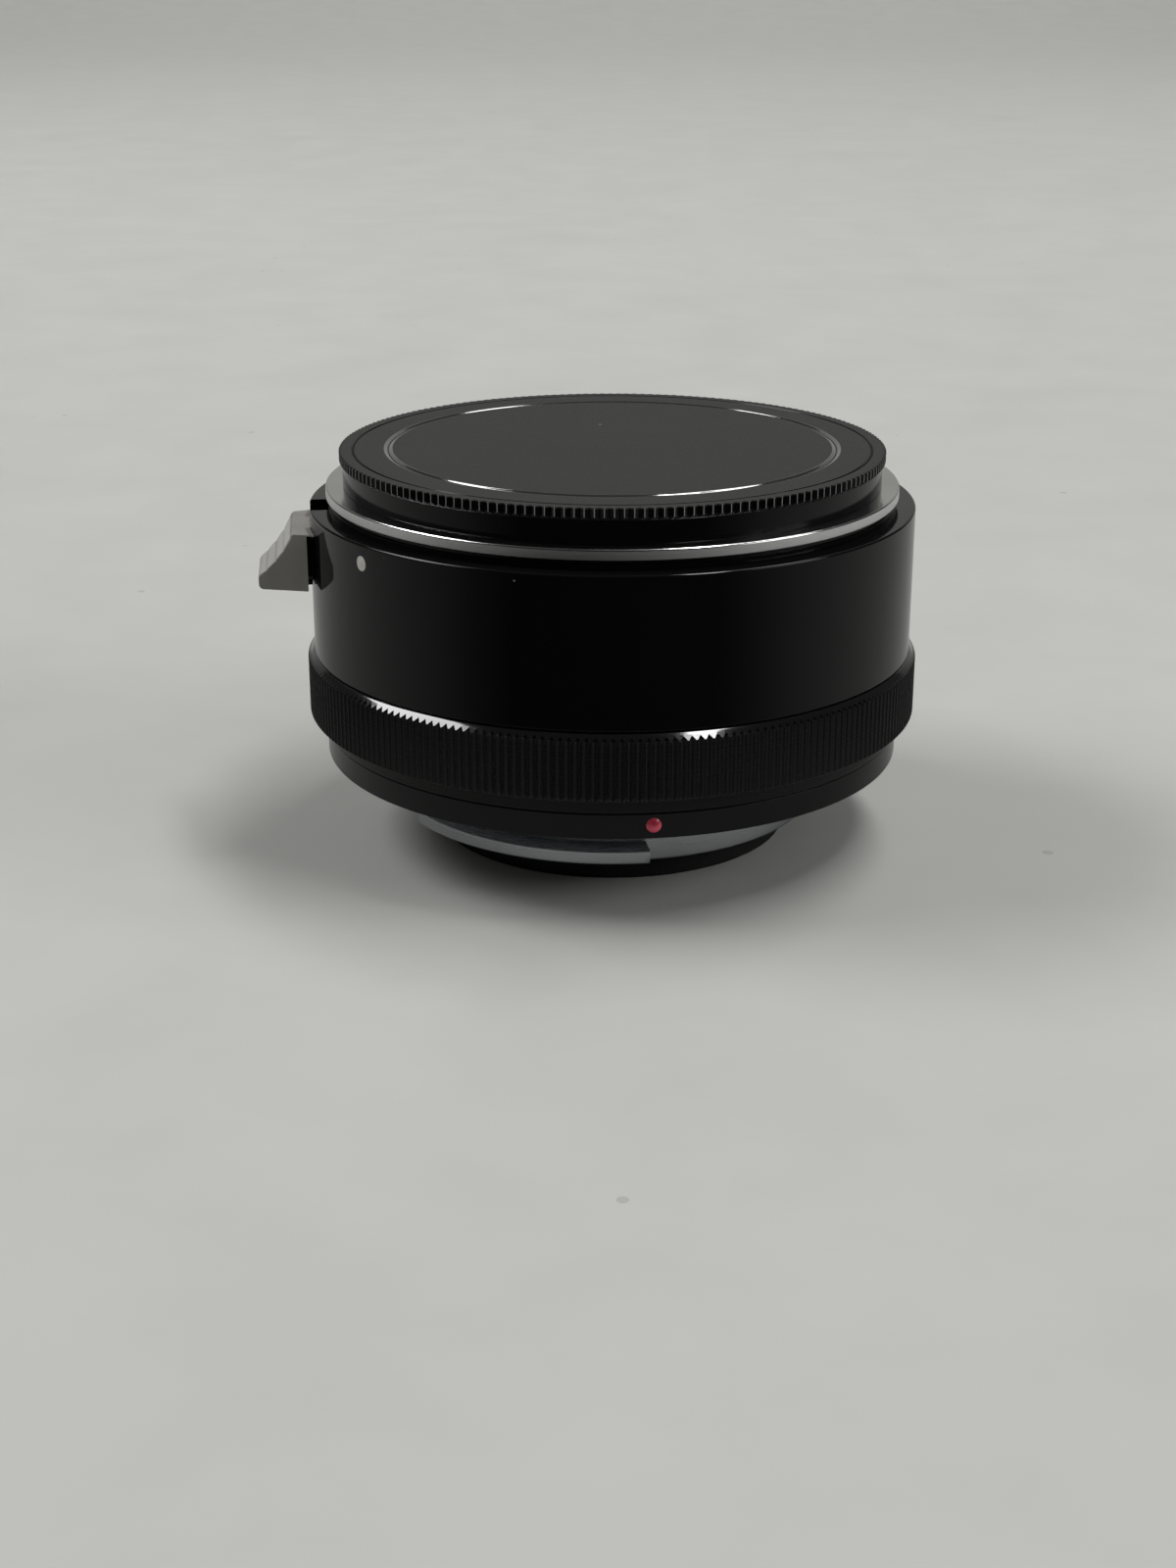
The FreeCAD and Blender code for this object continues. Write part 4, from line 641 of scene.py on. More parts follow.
def broken(piece, width, segments=2, angle=40):
    """Every sharp edge of a piece taken off by a small width."""
    only(piece)
    edges = piece.modifiers.new("edges", "BEVEL")
    edges.width = width * MM
    edges.segments = segments
    edges.limit_method = "ANGLE"
    edges.angle_limit = math.radians(angle)
    edges.miter_outer = "MITER_ARC"
    bpy.ops.object.modifier_apply(modifier=edges.name)
    return piece


def smooth(piece, angle=34):
    """Smooth shading that stops at sharp edges and keeps large faces flat."""
    only(piece)
    bpy.ops.object.shade_smooth_by_angle(angle=math.radians(angle))
    even = piece.modifiers.new("even_faces", "WEIGHTED_NORMAL")
    even.keep_sharp = True
    bpy.ops.object.modifier_apply(modifier=even.name)
    return piece


def dress(piece, finish, body, node, angle=34):
    """Smooth a piece and give it its finish, the body it rides on and the node it is for."""
    smooth(piece, angle)
    piece.data.materials.clear()
    piece.data.materials.append(finish)
    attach(piece, body)
    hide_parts(node)
    print(piece.name, len(piece.data.polygons), "faces")
    return piece


# %% [markdown]
# The barrel is one turned tube. Its foot is narrower, so the grip ring slides over it, and its lens end
# has a shoulder that carries the mount. A slot for the lever is milled through the wall and stays open
# to the end. It is cut out as a block, because a mill leaves exactly that. The white dot sits in a
# shallow pit.

# %% Barrel
BARREL = 32.5
FOOT = 31.0
BARREL_BORE = 29.9
LAND_BORE = 25.3
LAND_TOP = 6.4
SHOULDER_BORE = 25.35
LEDGE_BORE = 24.7
LEDGE_TOP = 26.4
BARREL_BOTTOM = 3.4
BARREL_STEP = 12.25
BARREL_TOP = 27.9
SHOULDER_BOTTOM = 25.3
SLOT_WIDTH = 5.0
SLOT_FOOT = 19.7
WHITE_MARK_ANGLE = 32.6
WHITE_MARK_HEIGHT = 25.95
MARK_RADIUS = 0.77
PIT_RADIUS = MARK_RADIUS + 0.03
OUTSIDE = 40.0
ABOVE = 30.0


def pitted(piece, floor, angle, height):
    """A round pit for an index mark, sunk from the outside down to a distance from the axis."""
    corners = [(0, floor), (0, OUTSIDE), (PIT_RADIUS, OUTSIDE), (PIT_RADIUS, floor)]
    place = UP * height * MM
    return shaped(piece, turned("pit", corners, steps=40, centre=place, out=UP, up=way(angle)))


barrel = turned("barrel", [
    (LAND_BORE, BARREL_BOTTOM),
    (FOOT, BARREL_BOTTOM),
    (FOOT, BARREL_STEP),
    (BARREL, BARREL_STEP, 0.14),
    (BARREL, BARREL_TOP, 0.22),
    (SHOULDER_BORE, BARREL_TOP, 0.12),
    (SHOULDER_BORE, LEDGE_TOP),
    (LEDGE_BORE, LEDGE_TOP, 0.08),
    (LEDGE_BORE, SHOULDER_BOTTOM),
    (BARREL_BORE, SHOULDER_BOTTOM),
    (BARREL_BORE, LAND_TOP),
    (LAND_BORE, LAND_TOP, 0.1),
])
slot_block = across("slot_block", [
    (27.0, SLOT_FOOT),
    (OUTSIDE, SLOT_FOOT),
    (OUTSIDE, ABOVE),
    (BARREL_BORE + 0.5, ABOVE),
    (BARREL_BORE + 0.5, SHOULDER_BOTTOM),
    (27.0, SHOULDER_BOTTOM),
], SLOT_WIDTH)
shaped(barrel, slot_block)
pitted(barrel, BARREL - 0.35, WHITE_MARK_ANGLE, WHITE_MARK_HEIGHT)
dress(barrel, enamel, "barrel", "outer_barrel")

# %% [markdown]
# The grip ring has 240 fine upright ribs with narrow backs. A ring of that many ribs is made from one:
# a small wedge, sliced at the slope of the ring's upper edge, then copied round the axis. The ring
# below them is turned, with a small rounding where the slope meets its flat top.

# %% Grip ring
GRIP = 33.25
GRIP_BORE = 31.02
GRIP_BOTTOM = 3.45
COLLAR = 31.6
RIB_ROOT = 32.78
RIB_SUNK = 0.06
RIB_COUNT = 240
RIB_DEPTH = 0.43
RIB_BOTTOM = 5.1
RIB_TOP = 11.4
GRIP_TOP = 12.15


def wedge(name, tip, depth, count, bottom, top, back=0.06):
    """One upright rib with a narrow flat back, its flanks carried a little under the ring's face."""
    root = tip - depth - RIB_SUNK
    half = math.pi * tip / count * (tip - root) / depth
    side = UP.cross(way(0))
    outline = [(root, half), (tip, back / 2), (tip, -back / 2), (root, -half)]
    places = [(way(0) * radius + side * off + UP * bottom) * MM for radius, off in outline]
    return prism(name, places, UP * ((top - bottom) * MM))


def sliced(piece, place, normal):
    """Take away what lies beyond a plane, and close the cut."""
    edit(piece)
    bpy.ops.mesh.bisect(plane_co=place, plane_no=normal.normalized(), clear_outer=True, use_fill=True)
    tidy_normals()
    stop_editing()


grip = turned("grip", [
    (GRIP_BORE, GRIP_BOTTOM),
    (COLLAR, GRIP_BOTTOM, 0.1),
    (COLLAR, RIB_BOTTOM),
    (RIB_ROOT, RIB_BOTTOM),
    (RIB_ROOT, 11.87),
    (BARREL, GRIP_TOP, 0.16),
    (GRIP_BORE, GRIP_TOP),
])
rib = wedge("rib", GRIP, RIB_DEPTH, RIB_COUNT, RIB_BOTTOM, GRIP_TOP)
sliced(rib, at(GRIP, 0, RIB_TOP), way(0) + UP)
sliced(rib, at(GRIP, 0, RIB_BOTTOM + 0.35), way(0) - UP)
joined(grip, round_the_axis(rib, RIB_COUNT))
dress(grip, ring_black, "barrel", "grip_ring", angle=30)

# %% [markdown]
# A black ring closes the barrel towards the camera. It is plain but for a shallow pit, in which a
# domed red bead marks where the tube goes in. The bead is a drop of enamel, so its section is an arc,
# and the white dot in the barrel is the same drop with almost no dome.

# %% Ring round the camera's seat, and the two index marks
SEAT = 29.0
SEAT_THICKNESS = 1.4
SEAT_RING = 31.42
SEAT_RING_LOW = 0.65
SEAT_RING_STEP = 3.3
RED_MARK_ANGLE = 90.7
RED_MARK_HEIGHT = 2.1

seat_ring = turned("seat_ring", [
    (LAND_BORE, SEAT_THICKNESS),
    (SEAT + 0.02, SEAT_THICKNESS),
    (SEAT + 0.02, SEAT_RING_LOW, 0.06),
    (SEAT_RING, SEAT_RING_LOW, 0.18),
    (SEAT_RING, SEAT_RING_STEP, 0.06),
    (31.2, SEAT_RING_STEP),
    (31.2, BARREL_BOTTOM),
    (LAND_BORE, BARREL_BOTTOM),
])
pitted(seat_ring, SEAT_RING - 0.4, RED_MARK_ANGLE, RED_MARK_HEIGHT)
dress(seat_ring, spacer_black, "barrel", "rear_seat_ring")


def index_mark(name, surface, depth, dome, angle, height):
    """A drop of paint in its pit: a short plug with a dome drawn from points of an arc."""
    steps = 6
    arc = [step / steps for step in range(steps + 1)]
    corners = [(0, surface - depth), (MARK_RADIUS, surface - depth)]
    corners += [(MARK_RADIUS * (1 - t), surface + dome * (1 - (1 - t) ** 2)) for t in arc]
    place = UP * height * MM
    return turned(name, corners, steps=48, centre=place, out=UP, up=way(angle))


place = (WHITE_MARK_ANGLE, WHITE_MARK_HEIGHT)
white_dot = index_mark("white_dot", BARREL, 0.33, 0.03, *place)
dress(white_dot, white_paint, "barrel", "white_index_dot", angle=50)
place = (RED_MARK_ANGLE, RED_MARK_HEIGHT)
red_bead = index_mark("red_bead", SEAT_RING, 0.38, 0.32, *place)
dress(red_bead, red_enamel, "barrel", "red_index_bead", angle=50)

# %% [markdown]
# The camera-side bayonet is a ring with a short tube and three lugs, which turn behind the camera's
# own claws. One lug is longer than the other two, so the tube goes in one way only. The lugs are swept
# part of the way round and fused to the tube. Five countersunk screws hold it, and the camera's lock
# pin drops into a small round hole in its face.

# %% Holes for the mount screws
SCREW_CIRCLE = 27.0
SCREW_ANGLE = 36.0
SCREW_COUNT = 5
SCREW_HEAD = 1.55
SCREW_SHANK = 0.95
SCREW_PLAY = 0.05
SCREW_WAY = way(SCREW_ANGLE)
SCREW_PLACE = SCREW_WAY * SCREW_CIRCLE * MM


def countersunk(face, inwards, far):
    """A cone and a hole for each of the five screws, as one tool; inwards is 1 or -1."""
    mouth = SCREW_HEAD + SCREW_PLAY
    hole = SCREW_SHANK + SCREW_PLAY
    corners = [
        (0, face - inwards),
        (mouth, face - inwards),
        (mouth, face + inwards * SCREW_PLAY),
        (hole, face + inwards * 0.65),
        (hole, far),
        (0, far),
    ]
    tool = turned("countersinks", corners, steps=32, centre=SCREW_PLACE, out=SCREW_WAY)
    return round_the_axis(tool, SCREW_COUNT)


def drilled(piece, circle, radius, bottom, top, angle=0.0):
    """A round hole along the optical axis."""
    out = way(angle)
    corners = oblong(0, radius, bottom, top)
    return shaped(piece, turned("drill", corners, steps=32, centre=out * circle * MM, out=out))


# %% Camera-side bayonet
LUG = 24.3
BAYONET_BORE = 21.3
BAYONET_TUBE = 22.3
BAYONET_LOW = -5.4
LUG_ROOT = 21.8
LUG_ANGLE = 58.5
LUG_SWEEP = 68.0
LUGS = ((LUG_ANGLE, LUG_SWEEP), (186.5, 50.0), (298.5, 50.0))
PIN_CIRCLE = 26.6

bayonet = turned("bayonet", [
    (BAYONET_BORE, BAYONET_LOW, 0.1),
    (BAYONET_TUBE, BAYONET_LOW, 0.2),
    (BAYONET_TUBE, 0),
    (SEAT, 0, 0.16),
    (SEAT, SEAT_THICKNESS),
    (BAYONET_BORE, SEAT_THICKNESS, 0.1),
])
for angle, sweep in LUGS:
    outline = [(LUG_ROOT, -5.0), (LUG, -5.0, 0.2), (LUG, -3.5, 0.2), (LUG_ROOT, -3.5)]
    shaped(bayonet, swept("lug", outline, angle, sweep, steps=48), "UNION")
shaped(bayonet, countersunk(0, 1, 3.0))
drilled(bayonet, PIN_CIRCLE, 1.1, -1.0, 3.0)
dress(bayonet, camera_side_chrome_in_shade, "barrel", "rear_bayonet")

# %% [markdown]
# The tube's inside must not throw light onto the film, so its wall is cut into fine grooves and
# painted dull black. The baffle at the camera side is a separate short tube in the same paint, and the
# whole tube stands on it.

# %% Light baffle and inner tube
LIGHT_BORE = 17.6
TUBE = 19.35
FOOT_END = -8.6
JOINT_TOP = -0.6

baffle = turned("baffle", [
    (LIGHT_BORE, FOOT_END, 0.3),
    (TUBE, FOOT_END, 0.3),
    (TUBE, JOINT_TOP),
    (18.65, JOINT_TOP),
    (18.65, -2.05),
    (LIGHT_BORE, -2.05),
], steps=TUBE_STEPS)
dress(baffle, inner_black, "barrel", "rear_light_baffle")

TRAP_PITCH = 1.35
TRAP_FIRST = -0.4
TRAP_COUNT = 18
TRAP_DEPTH = 0.5
TRAP_WIDTH = 0.7
COLLAR_EDGE = 24.9
COLLAR_TOP = 2.6
HUB = 20.0
CLIP_GROOVE = 18.9
TUBE_TOP = 25.0
traps = []
for number in range(TRAP_COUNT):
    low = TRAP_FIRST + number * TRAP_PITCH
    traps.append((LIGHT_BORE, low))
    traps.append((LIGHT_BORE + TRAP_DEPTH, low + TRAP_WIDTH / 2))
    traps.append((LIGHT_BORE, low + TRAP_WIDTH))
tube = turned("tube", [
    (LIGHT_BORE, -2.0),
    (18.6, -2.0),
    (18.6, JOINT_TOP),
    (TUBE, JOINT_TOP),
    (TUBE, SEAT_THICKNESS),
    (COLLAR_EDGE, SEAT_THICKNESS),
    (COLLAR_EDGE, COLLAR_TOP, 0.1),
    (HUB, COLLAR_TOP),
    (HUB, 4.0, 0.1),
    (TUBE, 4.0),
    (TUBE, 6.05),
    (CLIP_GROOVE, 6.05),
    (CLIP_GROOVE, 6.65),
    (TUBE, 6.65),
    (TUBE, TUBE_TOP, 0.1),
    (LIGHT_BORE, TUBE_TOP, 0.1),
    *traps[::-1],
], steps=TUBE_STEPS)
arm_slot = swept("arm_slot", oblong(20.1, 21.3, 1.0, 3.0), angle=242.5, sweep=30.0)
shaped(tube, arm_slot)
dress(tube, inner_black, "barrel", "inner_tube")

# %% [markdown]
# The lens-side mount is a flat ring with three claws inside its throat, and the lens's lugs turn
# behind them. One claw is swept and copied to the other two places before it is fused to the ring.

# %% Lens-side flange
FLANGE = 30.68
FLANGE_TOP = 30.0
FLANGE_LOW = 28.9
FLANGE_BORE = 24.6
NECK = 25.3
NECK_LOW = 26.7
CLAW = 22.7
CLAW_ROOT = 24.95
CLAW_TOP = 28.5
CLAW_SWEEP = 48.0

flange = turned("flange", [
    (FLANGE_BORE, NECK_LOW),
    (NECK, NECK_LOW),
    (NECK, FLANGE_LOW),
    (FLANGE, FLANGE_LOW, 0.08),
    (FLANGE, FLANGE_TOP, 0.2),
    (FLANGE_BORE, FLANGE_TOP, 0.15),
])
claws = swept(
    "claws",
    [(CLAW, NECK_LOW, 0.15), (CLAW_ROOT, NECK_LOW), (CLAW_ROOT, CLAW_TOP), (CLAW, CLAW_TOP, 0.15)],
    LUG_ANGLE,
    CLAW_SWEEP,
)
shaped(flange, round_the_axis(claws, 3), "UNION")
shaped(flange, countersunk(FLANGE_TOP, -1, 27.9))
drilled(flange, PIN_CIRCLE, 0.75, 27.9, 31.0)
dress(flange, lens_side_chrome, "barrel", "front_flange")

# %% [markdown]
# A thin black ring lies under the flange and sets its height. A fine line is cut round its edge, which
# is part of the section, because a turned line costs nothing more there.

# %% Spacer ring under the flange
SPACER = 30.4
SPACER_LINE = 28.40
LINE_HALF = 0.12
spacer = turned("spacer", [
    (SHOULDER_BORE, BARREL_TOP),
    (SPACER, BARREL_TOP, 0.06),
    (SPACER, SPACER_LINE - LINE_HALF),
    (SPACER - 0.15, SPACER_LINE),
    (SPACER, SPACER_LINE + LINE_HALF),
    (SPACER, FLANGE_LOW, 0.08),
    (SHOULDER_BORE, FLANGE_LOW),
])
hole = oblong(0, SCREW_SHANK + SCREW_PLAY, 27.0, ABOVE)
screw_holes = turned("screw_holes", hole, steps=32, centre=SCREW_PLACE, out=SCREW_WAY)
shaped(spacer, round_the_axis(screw_holes, SCREW_COUNT))
drilled(spacer, PIN_CIRCLE, 0.75, 27.0, ABOVE)
dress(spacer, spacer_black, "barrel", "front_spacer_ring")

# %% [markdown]
# Ten countersunk screws hold the two mounts. One is turned with a rounded rim to its head, a cross
# with sloping flanks is sunk into it, and it is copied to five places for each end.


# %% Mount screws
CROSS_MOUTH = 0.26
CROSS_BOTTOM = 0.10
CROSS_DEPTH = 0.42
CROSS_REACH = 0.85


def cross_tool(face, inwards):
    """Two tapered bars across the screw's head, wider at the mouth than at the bottom."""
    side = UP.cross(SCREW_WAY)
    middle = SCREW_WAY * SCREW_CIRCLE
    bars = []
    for along, aside in ((SCREW_WAY, side), (side, SCREW_WAY)):
        corners = [(CROSS_MOUTH, -0.3), (CROSS_BOTTOM, CROSS_DEPTH)]
        corners += [(-off, depth) for off, depth in corners[::-1]]
        places = [
            (middle + aside * off + UP * (face + inwards * depth) - along * CROSS_REACH) * MM
            for off, depth in corners
        ]
        bars.append(prism("bar", places, along * (2 * CROSS_REACH * MM)))
    return shaped(bars[0], bars[1], "UNION")


def mount_screws(name, face, end, inwards, node):
    head = face + inwards * SCREW_PLAY
    corners = [
        (0, head),
        (SCREW_HEAD, head, 0.1),
        (SCREW_SHANK, head + inwards * 0.6),
        (SCREW_SHANK, end, 0.15),
        (0, end),
    ]
    screw = turned(name, corners, steps=40, centre=SCREW_PLACE, out=SCREW_WAY)
    shaped(screw, cross_tool(head, inwards))
    round_the_axis(screw, SCREW_COUNT)
    return dress(screw, screw_steel, "barrel", node)


mount_screws("camera_side_screws", 0, 6.0, 1, "rear_bayonet_screws")
mount_screws("lens_side_screws", FLANGE_TOP, 25.7, -1, "front_flange_screws")

# %% [markdown]
# The release lever is one block of grey metal. It narrows towards the toe where the thumb pushes, its
# face leans in towards the top and three notches run across it. Its section is drawn once, notches and
# all, and carried across the lever's width. The two flanks are then sliced off at their slant, and the
# back is cut to the barrel's curve with a thin lip at the top that covers the plate behind it.

# %% Lever sizes
LEVER_BACK = 33.3
LEVER_LOW = 19.86
LEVER_HIGH = 26.06
LEVER_WIDTH = 10.8
TOE_WIDTH = 7.8
TOE = 38.07
SLOPE_END = 34.5
SLOPE_HOLLOW = 0.35
TOE_TOP = LEVER_LOW + 1.5
SLOPE_TOP = LEVER_HIGH - 0.25
PLATE_INSIDE = 32.65
PLATE_LOW = LEVER_LOW + 0.3
PLATE_HIGH = LEVER_HIGH - 0.2
LEVER_INSIDE = 31.5
STEM_LOW = 22.4
STEM_HIGH = 24.8
STEM_WIDTH = 4.6
STEM_PLAY = 0.05


def on_slope(share, depth=0.0):
    """A place on the hollow leaning face, or sunk into it, at a share of the way up."""
    hollow = SLOPE_HOLLOW * 4 * share * (1 - share)
    out = TOE + (SLOPE_END - TOE) * share - (hollow + depth) * 0.8
    return (out, TOE_TOP + (SLOPE_TOP - TOE_TOP) * share - (hollow + depth) * 0.6)


print("lever height in mm:", round(LEVER_HIGH - LEVER_LOW, 2))

# %% [markdown]
# The lever is painted a dull warm grey. Its leaning face is painted lighter, most of all in its upper
# half: a painted highlight for the light that face catches. The paint is mixed by how near a place lies
# to that face and how far up it is.


# %% Lever paint
def lever_paint():
    finish = Finish("lever_paint", Metallic=0.05, IOR=1.35)
    grain = finish.noise(1500.0, detail=3.0)
    blotches = finish.noise(240.0, detail=2.0).ramp((0.45, 0), (0.75, 1))
    x, y, z = finish.parts_of(finish.place())
    out = (x * way(0).x + y * way(0).y) / MM
    share = (z / MM - TOE_TOP) / (SLOPE_TOP - TOE_TOP)
    hollow = share * (1 - share) * (SLOPE_HOLLOW * 4)
    depth = share * (SLOPE_END - TOE) + TOE - hollow * 0.8 - out
    near_face = 1 - depth.ramp((0.10, 0), (0.35, 1))
    # Painted highlight: lighter on the leaning face, most of all in its upper half.
    face_highlight = near_face * share.ramp((0.0, 0.5), (0.4, 1), (0.94, 1), (0.99, 0))
    plain = finish.mix_colour(blotches, (0.205, 0.200, 0.184, 1), (0.255, 0.250, 0.232, 1))
    finish.vary(
        Base_Color=finish.mix_colour(face_highlight, plain, (0.44, 0.435, 0.41, 1)),
        Roughness=grain.ramp((0.3, 0.38), (0.7, 0.5)),
    )
    finish.bump(grain, 0.004)
    return finish.material


lever_grey = lever_paint()
print("lever paint: 1")

# %% Release lever
NOTCH_COUNT = 3
NOTCH_FIRST = 0.18
NOTCH_STEP = 0.25
NOTCH_HALF = 0.05
NOTCH_DEPTH = 0.08
NOTCH_LIP = 0.04
notches = []
for number in range(NOTCH_COUNT):
    share = NOTCH_FIRST + NOTCH_STEP * number
    notches.append(on_slope(share - NOTCH_HALF) + (NOTCH_LIP,))
    notches.append(on_slope(share, NOTCH_DEPTH))
    notches.append(on_slope(share + NOTCH_HALF) + (NOTCH_LIP,))
lever = across("lever", [
    (LEVER_INSIDE, LEVER_LOW),
    (TOE, LEVER_LOW, 0.5),
    (TOE, TOE_TOP, 0.3),
    *notches,
    (SLOPE_END, SLOPE_TOP, 0.1),
    (SLOPE_END - 0.25, LEVER_HIGH, 0.1),
    (LEVER_INSIDE, LEVER_HIGH),
], LEVER_WIDTH + 2.0)
side = UP.cross(way(0))
for hand in (side, -side):
    slant = way(0) * (LEVER_WIDTH - TOE_WIDTH) / 2 + hand * (TOE - LEVER_BACK)
    sliced(lever, (way(0) * LEVER_BACK + hand * LEVER_WIDTH / 2) * MM, slant)
broken(lever, 0.16, 3, 60)
stem = across("stem", oblong(29.1, 34.0, STEM_LOW, STEM_HIGH), STEM_WIDTH)
back = turned("back", [
    (0, 15.0),
    (LEVER_BACK, 15.0),
    (LEVER_BACK, PLATE_HIGH),
    (BARREL + 0.05, PLATE_HIGH),
    (BARREL + 0.05, ABOVE),
    (0, ABOVE),
], steps=360)
shaped(lever, back)
shaped(lever, stem, "UNION")
dress(lever, lever_grey, "release", "release_lever", angle=30)

# %% [markdown]
# Between the lever and the barrel lies a thin black plate, which slides with the lever and covers the
# slot. It is a strip of a ring, with a window for the lever's stem. Its lower corners are rounded by
# four slices each.

# %% Slide plate
PLATE_SWEEP = 16.2
PLATE_HALF_WIDTH = 4.65
PLATE_CORNER = 1.4
SLICE_LEANS = (18.0, 36.0, 54.0, 72.0)

plate = swept("slide_plate", [
    (PLATE_INSIDE, PLATE_LOW),
    (LEVER_BACK, PLATE_LOW, 0.08),
    (LEVER_BACK, PLATE_HIGH),
    (PLATE_INSIDE, PLATE_HIGH),
], 0, PLATE_SWEEP, steps=40)
for hand in (side, -side):
    middle = hand * (PLATE_HALF_WIDTH - PLATE_CORNER) + UP * (PLATE_LOW + PLATE_CORNER)
    for lean in SLICE_LEANS:
        tangent = hand * math.cos(math.radians(lean)) - UP * math.sin(math.radians(lean))
        sliced(plate, (middle + tangent * PLATE_CORNER) * MM, tangent)
opening = oblong(30.0, 36.0, STEM_LOW - STEM_PLAY, STEM_HIGH + STEM_PLAY)
shaped(plate, across("window", opening, STEM_WIDTH + 2 * STEM_PLAY))
dress(plate, enamel, "release", "lever_slide_plate")

# %% [markdown]
# A pin behind the lever stands up through the spacer and the flange, and its tip drops into a hole in
# the lens. It is one short spin with a head at its foot, where the carrier takes it down.

# %% Lock pin
PIN = 0.7
PIN_HEAD = 0.95
PIN_FOOT = 23.6
PIN_NECK = 24.2
PIN_TIP = 30.9

pin = turned("pin", [
    (0, PIN_FOOT),
    (PIN_HEAD, PIN_FOOT, 0.1),
    (PIN_HEAD, PIN_NECK),
    (PIN, PIN_NECK),
    (PIN, PIN_TIP, 0.22),
    (0, PIN_TIP),
], steps=40, centre=way(0) * PIN_CIRCLE * MM)
dress(pin, screw_steel, "release", "lock_pin")

# %% [markdown]
# The cap is one moulding: a ribbed rim for the fingers, a smooth skirt that stands on the flange, and
# a plug with lugs that holds in the claws. A fine line runs round its top, and a shallow groove parts
# the set-in disc from it. Both of the groove's walls swing like a wave, so each holds a long glint.

# %% Groove round the disc
CAP_TOP = 33.62
GROOVE_DEPTH = 0.15
GROOVE_GAP = 0.03
GROOVE_FLOOR = 33.12


def groove_wall(hand):
    """The groove's smooth wall from its bottom to its lip; hand is 1 for outwards or -1."""
    steps = 12
    wall = []
    for step in range(steps + 1):
        share = step / steps
        reach = GROOVE_GAP + (LIP_REACH - GROOVE_GAP) * share
        drop = GROOVE_DEPTH * (1 + math.cos(math.pi * share)) / 2
        wall.append((GROOVE_MIDDLE + hand * reach, CAP_TOP - drop))
    return wall


print("groove width in mm:", 2 * LIP_REACH)

# %% Cap
RIM = SKIRT + 0.02
RIM_TIP = 29.14
RIM_BOTTOM = 32.72
CAP_RIB_COUNT = 190
CAP_RIB_DEPTH = 0.3
CEILING = 31.6
PLUG = 22.3
PLUG_BORE = 21.3
PLUG_LOW = 25.0
SKIRT_BORE = 27.6
LINE_HALF_WIDTH = 0.16
CAP_LUG = 24.1
CAP_LUG_TOP = 26.3

cap = turned("cap", [
    (PLUG_BORE, PLUG_LOW, 0.1),
    (PLUG, PLUG_LOW, 0.2),
    (PLUG, CEILING),
    (SKIRT_BORE, CEILING),
    (SKIRT_BORE, FLANGE_TOP, 0.1),
    (SKIRT, FLANGE_TOP, 0.1),
    (SKIRT, SKIRT_TOP),
    (RIM, 32.44),
    (RIM, CAP_TOP, 0.06),
    (LINE + LINE_HALF_WIDTH, CAP_TOP, 0.03),
    (LINE, CAP_TOP - 0.28),
    (LINE - LINE_HALF_WIDTH, CAP_TOP, 0.03),
    *groove_wall(1)[::-1],
    (GROOVE_MIDDLE + GROOVE_GAP, GROOVE_FLOOR),
    (0, GROOVE_FLOOR),
    (0, CEILING),
    (PLUG_BORE, CEILING),
])
cap_lugs = swept("cap_lugs", [
    (LUG_ROOT, PLUG_LOW),
    (CAP_LUG, PLUG_LOW, 0.2),
    (CAP_LUG, CAP_LUG_TOP, 0.2),
    (LUG_ROOT, CAP_LUG_TOP),
], LUG_ANGLE + 60, LUG_SWEEP - 10)
shaped(cap, round_the_axis(cap_lugs, 3), "UNION")
cap_rib = wedge("cap_rib", RIM_TIP, CAP_RIB_DEPTH, CAP_RIB_COUNT, 32.2, CAP_TOP)
sliced(cap_rib, at(RIM_TIP, 0, RIM_BOTTOM), way(0) - UP)
sliced(cap_rib, at(RIM_TIP, 0, CAP_TOP - 0.12), way(0) + UP)
joined(cap, round_the_axis(cap_rib, CAP_RIB_COUNT))
dress(cap, cap_grained, "cap", "front_cap", angle=30)

# %% Disc set in the cap
disc = turned("disc", [
    (0, GROOVE_FLOOR),
    (GROOVE_MIDDLE - GROOVE_GAP, GROOVE_FLOOR),
    *groove_wall(-1),
    (0, CAP_TOP),
])
dress(disc, cap_grained, "cap", "cap_disc")

# %% [markdown]
# The small pieces inside keep their measured shape, which is already right: sheet-metal arms, the flat
# spring ring, posts and rivets. They only need finishes of the same kinds.

# %% Finishes of the measured pieces
INSIDE = (
    (coupling_brass, "coupling_ring"),
    (spring_steel, "coupling_clip", "mount_spring_ring"),
    (steel_black, "front_diaphragm_arm", "rear_diaphragm_arm", "lever_carrier"),
    (screw_steel, "inner_tube_screws", "coupling_rivets", "spring_anchor_post", "coupling_ring_post"),
    (screw_steel, "lever_screws", "lever_guide_rods"),
)
for finish, *names in INSIDE:
    for name in names:
        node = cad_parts[name]
        node.data.materials.clear()
        node.data.materials.append(finish)
    print(finish.name, "on", len(names))

# %% [markdown]
# The wound springs change shape when their joint moves. The lever's two springs are squeezed between
# the heads of their rods and the carrier, and the coupling's spring is pulled longer by the ring's post.
# Each is a copy of the measured wire, made one closed skin.


# %% Copies of the wound wire
WIRE_GAP = 0.0005 * MM


def wire_copy(name, node):
    """A closed, smooth copy of a measured wire."""
    piece = bpy.data.objects.new(name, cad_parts[node].data.copy())
    bpy.context.collection.objects.link(piece)
    edit(piece)
    bpy.ops.mesh.remove_doubles(threshold=WIRE_GAP)
    smooth(piece)
    piece.data.materials.clear()
    piece.data.materials.append(spring_steel)
    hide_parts(node)
    print(name, len(piece.data.polygons), "faces")
    return piece


